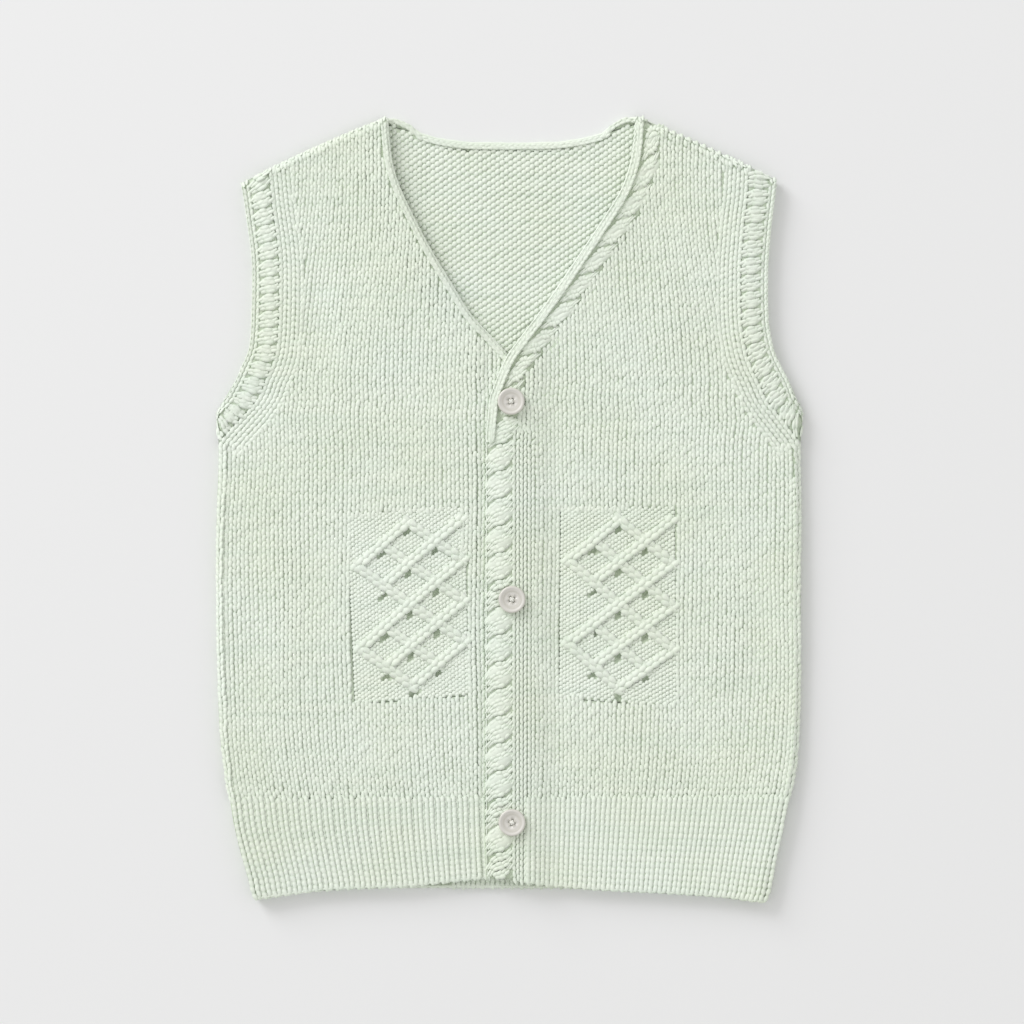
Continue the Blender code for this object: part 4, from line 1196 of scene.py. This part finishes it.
def growTwist(name, node, lumps, cushions, seeds):
    settings = stitchSettings(knit["stitchWidth"], knit["rowHeight"], 2.5, seeds[0], lumpShape, 0.35)
    growStitches(name + "_lumps", node, lumps, settings)
    # two soft swellings side by side under every lump, their size given by its spot
    strands = [((x, -0.46, -0.08), (x, 0.0, 0.12), (x, 0.46, -0.08)) for x in (0.21, -0.21)]
    settings = strandSettings(0.66, 0.4, seeds[1], strands, Sides=8, Steps=6)
    growStitches(name + "_cushions", node, cushions, settings)


def edgeShell(node, layer, plan, sink, ks=spread(0.0, stations, 48)):
    stripShell(node, layer, plan, ks, spread(0.0, 1.0, 8), lambda x, y: sink)


print("armhole edgings")
for side in (-1, 1):
    name = sideName[side] + "_armhole_edging"
    front, plan = name + "_front", armholes[side]
    lumps, cushions = twistSpots(side, plan, 0.0, stations, -side, lambda k: (0.3, 0.99), armholeTwist)
    growTwist(name, front, lumps, cushions, (31 + side, 37 + side))
    growRim(name + "_rim", front, rimSpots(side, plan, rims["armhole"]), 33 + side)
    growRim(name + "_rim_back", name + "_back", rimSpots(0, plan, rims["armholeBack"]), 35 + side)
    edgeShell(front, side, plan, 0.25)
    baseShell(name + "_back", 0.2)

print("front edgings")
node = "right_neck_edging"
growYarn(node + "_rim", node, rimPaths(-1, necks[-1], rimCores["narrow"]), yarnSettings(42))
growRim(node + "_chain", node, rimSpots(-1, necks[-1], rims["rightNeck"]), 41)
edgeShell(node, -1, necks[-1], 0.4)


def leftSpan(k):
    # the lumps reach the very edge on the placket, and stand behind a rim on the V
    rise = ease((k + 0.5) / 2.0)
    return (0.02 + 0.28 * rise, 0.66 + 0.24 * rise)


def placketSpots():
    spots = rimSpots(1, frontEdgePlan, rims["placket"], hemStation, 0.8)
    for across in (0.765, 0.965, 1.165):
        walk = walkBand(frontEdgePlan, across, hemStation, 0.5)
        count = round(walk[-1][0] / knit["rowHeight"])
        for i in range(count):
            k = stationAt(walk, walk[-1][0] * (i + 0.3) / count)
            here, above = frontEdgePlan(k, across), frontEdgePlan(k + 0.02, across)
            spots.append(spotAt(1, *here, *heading(here, above), 0.0, unevenSize()))
    return spots


node = "left_front_edging"
hemStation = -edging["placketStations"]
low = twistSpots(1, frontEdgePlan, hemStation, 0.8, 1, leftSpan, placketTwist)
high = twistSpots(1, frontEdgePlan, 0.8, stations, 1, leftSpan, neckTwist)
growTwist(node, node, low[0] + high[0], low[1] + high[1], (43, 47))
growYarn(node + "_rim", node, rimPaths(1, frontEdgePlan, rimCores["wide"]), yarnSettings(44))
growRim(node + "_chain", node, rimSpots(1, frontEdgePlan, rims["leftNeck"]), 46)
growRim(node + "_columns", node, placketSpots(), 45)
edgeShell(node, 1, frontEdgePlan, 0.4, spread(hemStation, 0.0, 64) + spread(0.0, stations, 48)[1:])

print("back neck")
node = "back_neck_edging"
growYarn("back_neck_rim", node, rimPaths(0, backNeckPlan, rimCores["narrow"]), yarnSettings(51))
growRim("back_neck_chain", node, rimSpots(0, backNeckPlan, rims["backNeck"]), 52)
baseShell(node, 0.2)

# Lattice panels: purl ground with a diamond lattice of cables

lattice = {
    "columns": (0.07, 0.29, 0.51, 0.74, 0.975),  # places of the crossings across a panel
    "firstRow": 0.058,
    "rowStep": 0.1085,
    "coreRadius": 1.9,              # a hidden core carries the stitches of a cable
    "strongLift": 0.65,
    "weakLift": 0.45,
    "stitchWidth": 5.3,
    "stitchRow": 3.6,
    "stitchYarn": 3.3,
    "stitchesPerStep": 4,
    "groundWidth": 3.05,            # the ground is knitted tighter than the front
    "groundRow": 1.9,
    "groundYarn": 2.35,
    "sink": 0.25,
    "slitDepth": 1.45,
}
strongCables = [
    [(0, 2), (1, 1), (2, 0)],
    [(1, 3), (2, 2), (3, 1), (4, 0)],
    [(0, 6), (1, 5), (2, 4), (3, 3), (4, 2)],
    [(1, 7), (2, 6), (3, 5), (4, 4)],
    [(2, 8), (3, 7), (4, 6)],
]
weakCables = [
    [(2, 0), (3, 1), (4, 2)],
    [(1, 1), (2, 2), (3, 3), (4, 4)],
    [(0, 2), (1, 3), (2, 4), (3, 5), (4, 6)],
    [(1, 5), (2, 6), (3, 7)],
    [(0, 6), (1, 7), (2, 8)],
]


def crossing(side, column, row):
    return panelPoint(side, lattice["columns"][column], lattice["firstRow"] + lattice["rowStep"] * row)


def slitShare(knots, x, y):
    # 1 in the middle of the slit that opens under a crossing, 0 outside it
    shares = [0.0]
    for knotX, knotY in knots:
        up = y - knotY + 4.6
        shares.append(1.0 - ((x - knotX - 0.3 * up) / 2.2) ** 2 - (up / 2.9) ** 2)
    return max(shares)


def cablePlaces(side, cable, lift):
    # places along a cable, each with its direction up the cloth and its height, low at both ends
    spots = [crossing(side, *knot) for knot in cable]
    parts = lattice["stitchesPerStep"]
    total = (len(spots) - 1) * parts
    found = []
    for i in range(total + 1):
        base = min(i // parts, len(spots) - 2)
        a, b = spots[base], spots[base + 1]
        dx, dy = b[0] - a[0], b[1] - a[1]
        length = math.copysign(math.hypot(dx, dy), dy)
        fade = ease((i + 0.6) / 2.0) * ease((total - i + 0.6) / 2.0)
        plump = 1.0 - 0.4 * math.sin(math.pi * i / parts) ** 2
        found.append((*mix(a, b, (i - base * parts) / parts), dx / length, dy / length, lift * fade * plump))
    return found


def groundSpots(side, knots):
    spots = []
    left, right = panelPoint(side, 0.0, 0.5)[0], panelPoint(side, 1.0, 0.5)[0]
    columns, rows = round((right - left) / lattice["groundWidth"]), round(panelSize[1] / lattice["groundRow"])
    for c in range(columns):
        for r in range(rows):
            x, y = panelPoint(side, (c + 0.3) / columns, (r + 0.5) / rows)
            x += chance.uniform(-0.12, 0.12)
            y += chance.uniform(-0.1, 0.1)
            if slitShare(knots, x, y) <= 0.3:
                spots.append(spotAt(side, x, y, chance.uniform(-0.05, 0.05), 1.0, -0.1, unevenSize()))
    return spots


print("lattice panels")
for side in (-1, 1):
    node = panels[side].node
    knots = [crossing(side, c, r) for c in range(1, 4) for r in range(9) if (c + r) % 2 == 0]
    growStitches(node + "_stitches", node, groundSpots(side, knots),
                 purlSettings(lattice["groundWidth"], lattice["groundRow"], lattice["groundYarn"], 61 + side))
    cores, ribs = [], []
    for cables, lift in ((strongCables, lattice["strongLift"]), (weakCables, lattice["weakLift"])):
        for cable in cables:
            places = cablePlaces(side, cable, lift)
            core = []
            for x, y, dx, dy, height in places:
                radius = lattice["coreRadius"] * chance.uniform(0.92, 1.08)
                # Painted shade: the hidden cores take a darker yarn colour.
                core.append((offSurface(side, x, y, halfWall + height - radius - 0.15), radius, 0.6))
            cores.append(core)
            ribs += [spotAt(side, *place, unevenSize()) for place in places]
    growYarn(node + "_cable_cores", node, cores, yarnSettings(63 + side))
    growStitches(node + "_cable_stitches", node, ribs,
                 stitchSettings(lattice["stitchWidth"], lattice["stitchRow"], lattice["stitchYarn"], 65 + side,
                                cableShape))
    stripShell(node, side, lambda k, across: panelPoint(side, across, 1.0 - k),
               spread(0.002, 0.998, 76), spread(0.003, 0.997, 48),
               lambda x, y: lattice["sink"] + lattice["slitDepth"] * slitShare(knots, x, y))

# Buttons: pearl-look polyester, turned, sewn on with cotton thread

buttonShape = {
    "profile": ((0.0, 1.5), (3.3, 1.5), (3.75, 1.62), (4.0, 1.78), (4.3, 1.74), (4.7, 1.9), (5.1, 2.16),
                (5.5, 2.2), (5.85, 2.0), (6.05, 1.65), (6.1, 1.1), (5.7, 0.45), (4.8, 0.0), (0.0, 0.0)),
    "segments": 48,
    "holeRadius": 0.52,
    "holeAway": 1.1,
    "threadRadius": 0.4,
    "threadLifts": (0.16, 0.4),
}


def pearlMaterial():
    # Cast polyester with a pearl pigment: pale, satin, with soft rings from turning.
    material, add = newMaterial("pearlPolyester")
    ring = add("ShaderNodeAttribute", {"attribute_name": "fromCentre"})
    place = add("ShaderNodeTexCoord").outputs["Object"]
    cloud = add("ShaderNodeTexNoise", Vector=place, Scale=260.0, Detail=3.0)
    swirl = add("ShaderNodeMath", "MULTIPLY_ADD", i0=cloud, i1=2.2, i2=ring.outputs["Fac"])
    wave = add("ShaderNodeMath", "SINE", i0=swirl)
    share = add("ShaderNodeMapRange", Value=wave, i1=-1.0, i2=1.0)
    colour = add("ShaderNodeMix", {"data_type": "RGBA"}, Factor=share, i6=hexColour("D2CFC6"),
                 i7=hexColour("DFDCD6"))
    endMaterial(add, {"Base Color": colour.outputs[2], "Roughness": 0.32, "IOR": 1.55, "Coat Weight": 0.3,
                      "Coat Roughness": 0.2})
    return material


pearl = pearlMaterial()
thread, add = newMaterial("cottonThread")   # Mercerised cotton sewing thread: white, slightly glossy.
endMaterial(add, {"Base Color": hexColour("F1F1EA"), "Roughness": 0.6})


def around(centre, angle, radius, height):
    return centre + Vector((math.cos(angle) * radius, math.sin(angle) * radius, height))


def makeButton(button):
    shape = buttonShape
    centre = Vector((button.x, button.y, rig.box(button.node)[0][2] / mm))
    turn = math.radians(button.turn)
    bm = bmesh.new()
    rings = []
    for radius, height in shape["profile"]:
        angles = spread(0.0, 2.0 * math.pi, shape["segments"])[:-1] if radius else [0.0]
        rings.append([bm.verts.new(around(centre, angle, radius, height) * mm) for angle in angles])
    for inner, outer in zip(rings, rings[1:]):
        for i in range(shape["segments"]):
            j = (i + 1) % shape["segments"]
            corners = [ring[n % len(ring)] for ring, n in ((inner, i), (inner, j), (outer, j), (outer, i))]
            bm.faces.new(dict.fromkeys(corners))
    bmesh.ops.recalc_face_normals(bm, faces=bm.faces)
    mesh = bpy.data.meshes.new(button.node)
    bm.to_mesh(mesh)
    bm.free()
    disc = addShell(button.node, mesh, pearl, "_disc")
    bm = bmesh.new()
    for quarter in range(4):
        hole = centre + around(Vector(), turn + (quarter + 0.5) * math.pi / 2, 1.0, 0.0) * shape["holeAway"]
        made = bmesh.ops.create_cone(bm, cap_ends=True, segments=14, radius1=shape["holeRadius"] * mm,
                                     radius2=shape["holeRadius"] * mm, depth=6.0 * mm)
        bmesh.ops.translate(bm, verts=made["verts"], vec=hole * mm)
    cutterMesh = bpy.data.meshes.new("holeCutter")
    bm.to_mesh(cutterMesh)
    bm.free()
    cutter = addObject("holeCutter", cutterMesh)
    cut = disc.modifiers.new("holes", "BOOLEAN")
    cut.object = cutter
    cut.solver = "EXACT"
    evaluated = disc.evaluated_get(bpy.context.evaluated_depsgraph_get())
    disc.data = bpy.data.meshes.new_from_object(evaluated)
    disc.modifiers.clear()
    bpy.data.objects.remove(cutter)
    disc.data.name = disc.name
    ring = disc.data.attributes.new("fromCentre", "FLOAT", "POINT")
    middle = centre * mm
    ring.data.foreach_set("value", [(vert.co.xy - middle.xy).length / mm * 2.6 for vert in disc.data.vertices])
    disc.data.shade_smooth()
    finishPiece(disc, button.node, True)
    threads = []
    for quarter, lift in enumerate(shape["threadLifts"]):
        angle = turn + (quarter + 0.5) * math.pi / 2
        threads.append([(around(centre, angle, shape["holeAway"] * t, 1.5 + lift - 1.4 * abs(t) ** 6),
                         shape["threadRadius"], 1.0) for t in spread(-1.0, 1.0, 10)])
    growYarn(button.node + "_thread", button.node, threads, {"Seed": 1.0, "Yarn": thread, "Wobble": 0.05 * mm})


print("buttons")
for button in buttons:
    makeButton(button)

# Table, light and camera

studio = {
    "fieldWidth": 460.8,            # the photograph's width at the table
    "height": 1600.0,
    "centre": (1.1, -1.35),
    "sensor": 36.0,
    "keySize": 2.6,                 # metres
    "keyPlace": (-3.26, 3.26, 1.93),
    "keyEnergy": 152.0,
    "worldStrength": 0.725,
}

print("stage")
floorMesh = bpy.data.meshes.new("floor")
floorMesh.from_pydata([(-3, -3, 0), (3, -3, 0), (3, 3, 0), (-3, 3, 0)], [], [(0, 1, 2, 3)])
paper, add = newMaterial("mattPaper")   # Uncoated paper: pale grey, matt.
endMaterial(add, {"Base Color": hexColour("F0F0F1"), "Roughness": 0.9, "Specular IOR Level": 0.1})
floorMesh.materials.append(paper)
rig.stage(addObject("floor", floorMesh))

cameraData = bpy.data.cameras.new("camera")
cameraData.sensor_width = studio["sensor"]
cameraData.lens = studio["sensor"] * studio["height"] / studio["fieldWidth"]
camera = addObject("camera", cameraData)
camera.location = Vector((*studio["centre"], studio["height"])) * mm
bpy.context.scene.camera = camera

keyData = bpy.data.lights.new("key", "AREA")
keyData.shape = "SQUARE"
keyData.size = studio["keySize"]
keyData.energy = studio["keyEnergy"]
keyData.color = (1.0, 1.0, 1.02)
key = addObject("key", keyData)
key.location = studio["keyPlace"]
key.rotation_euler = (-key.location).to_track_quat("-Z", "Y").to_euler()

world = bpy.data.worlds.new("studio")
world.use_nodes = True
background = world.node_tree.nodes["Background"]
background.inputs["Color"].default_value = (1.0, 1.0, 0.98, 1.0)
background.inputs["Strength"].default_value = studio["worldStrength"]
bpy.context.scene.world = world
bpy.context.scene.view_settings.view_transform = "Standard"

# The cut of every piece, flat

topY = 175.0
neckCut = 560.0                     # area that the back neck's curve takes away


def panelEdge(side, y):
    # side edge of a knitted panel, without its armhole edging
    line = shoulders[side]
    along = (y - line.tipY) / (line.neckY - line.tipY)
    shoulderX = abs(line.tipX + (line.neckX - line.tipX) * max(along, -1.0))
    edge = abs(sideX(side, y)) - (edging["armholeWidth"] if y > cloth["underarm"] else 0.0)
    return side * min(edge, shoulderX)


def centreEdge(side, y):
    # the other edge of a front, without its neck edging or placket
    if y > edging["neckLow"][side]:
        return neckX(side, y) + side * edging["neckWidth"]
    return neckX(side, y) + (edging["placketWidth"] if side > 0 else 0.0)


def cutArea(lowX, highX, steps=80):
    rise = (topY - cloth["hemTop"]) / steps
    heights = [cloth["hemTop"] + (i + 0.5) * rise for i in range(steps)]
    return sum(max(highX(y) - lowX(y), 0.0) for y in heights) * rise


def edgeLength(plan, kFrom=0.0, kTo=stations):
    return walkBand(plan, 0.5, kFrom, kTo)[-1][0]


panelArea = panelSize[0] * panelSize[1]
backArea = cutArea(partial(panelEdge, -1), partial(panelEdge, 1)) - neckCut
rightArea = cutArea(partial(panelEdge, -1), partial(centreEdge, -1)) - panelArea
leftArea = cutArea(partial(centreEdge, 1), partial(panelEdge, 1)) - panelArea
bodyLength, hemDepth = topY - cloth["hemTop"], cloth["hemTop"] - cloth["centreHem"]
armLength = edgeLength(armholes[-1])
leftEdgeLength = edgeLength(frontEdgePlan, hemStation, 0.0) + edgeLength(frontEdgePlan)
carried["back"] += carried["back_neck_edging"] + [bpy.data.objects["back_neck_edging_ground"]]

sheetRows = [
    ("back", 262.0, bodyLength, backArea, ["floor"]),
    ("back_hem", 255.0, 46.0, None, ["floor"]),
    ("right_front", 138.6, bodyLength, rightArea, ["back_ground"]),
    ("left_front", 124.6, bodyLength, leftArea, ["back_ground", "right_front_ground"]),
    ("right_front_hem", 130.0, hemDepth, None, ["back_hem_ground"]),
    ("left_front_hem", 115.0, hemDepth, None, ["back_hem_ground", "right_front_hem_ground"]),
    ("right_neck_edging", edging["neckWidth"], edgeLength(necks[-1]), None, ["back_ground"]),
    ("left_front_edging", edging["placketWidth"], leftEdgeLength, None,
     ["back_ground", "right_front_ground", "right_front_hem_ground"]),
]
for side in (-1, 1):
    name = sideName[side] + "_armhole_edging"
    sheetRows += [
        (panels[side].node, *panelSize, None, ["back_ground"]),
        (name + "_front", edging["armholeWidth"], armLength, None, [name + "_back_ground"]),
        (name + "_back", edging["armholeWidth"], armLength, None, ["floor"]),
    ]
for node, width, length, area, under in sheetRows:
    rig.sheet(bpy.data.objects[node + "_ground"], flat=(width * mm, length * mm), held="laid", rests_on=under,
             area=area and area * mm * mm, with_pieces=carried[node])
print(len(sheetRows), "sheets declared")

sizes = {"cad": [list(corner) for corner in cadBox], "visual": [list(corner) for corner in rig.bounds()]}
with open("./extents.json", "w") as sizeFile:
    json.dump(sizes, sizeFile)
print("sizes", sizes)
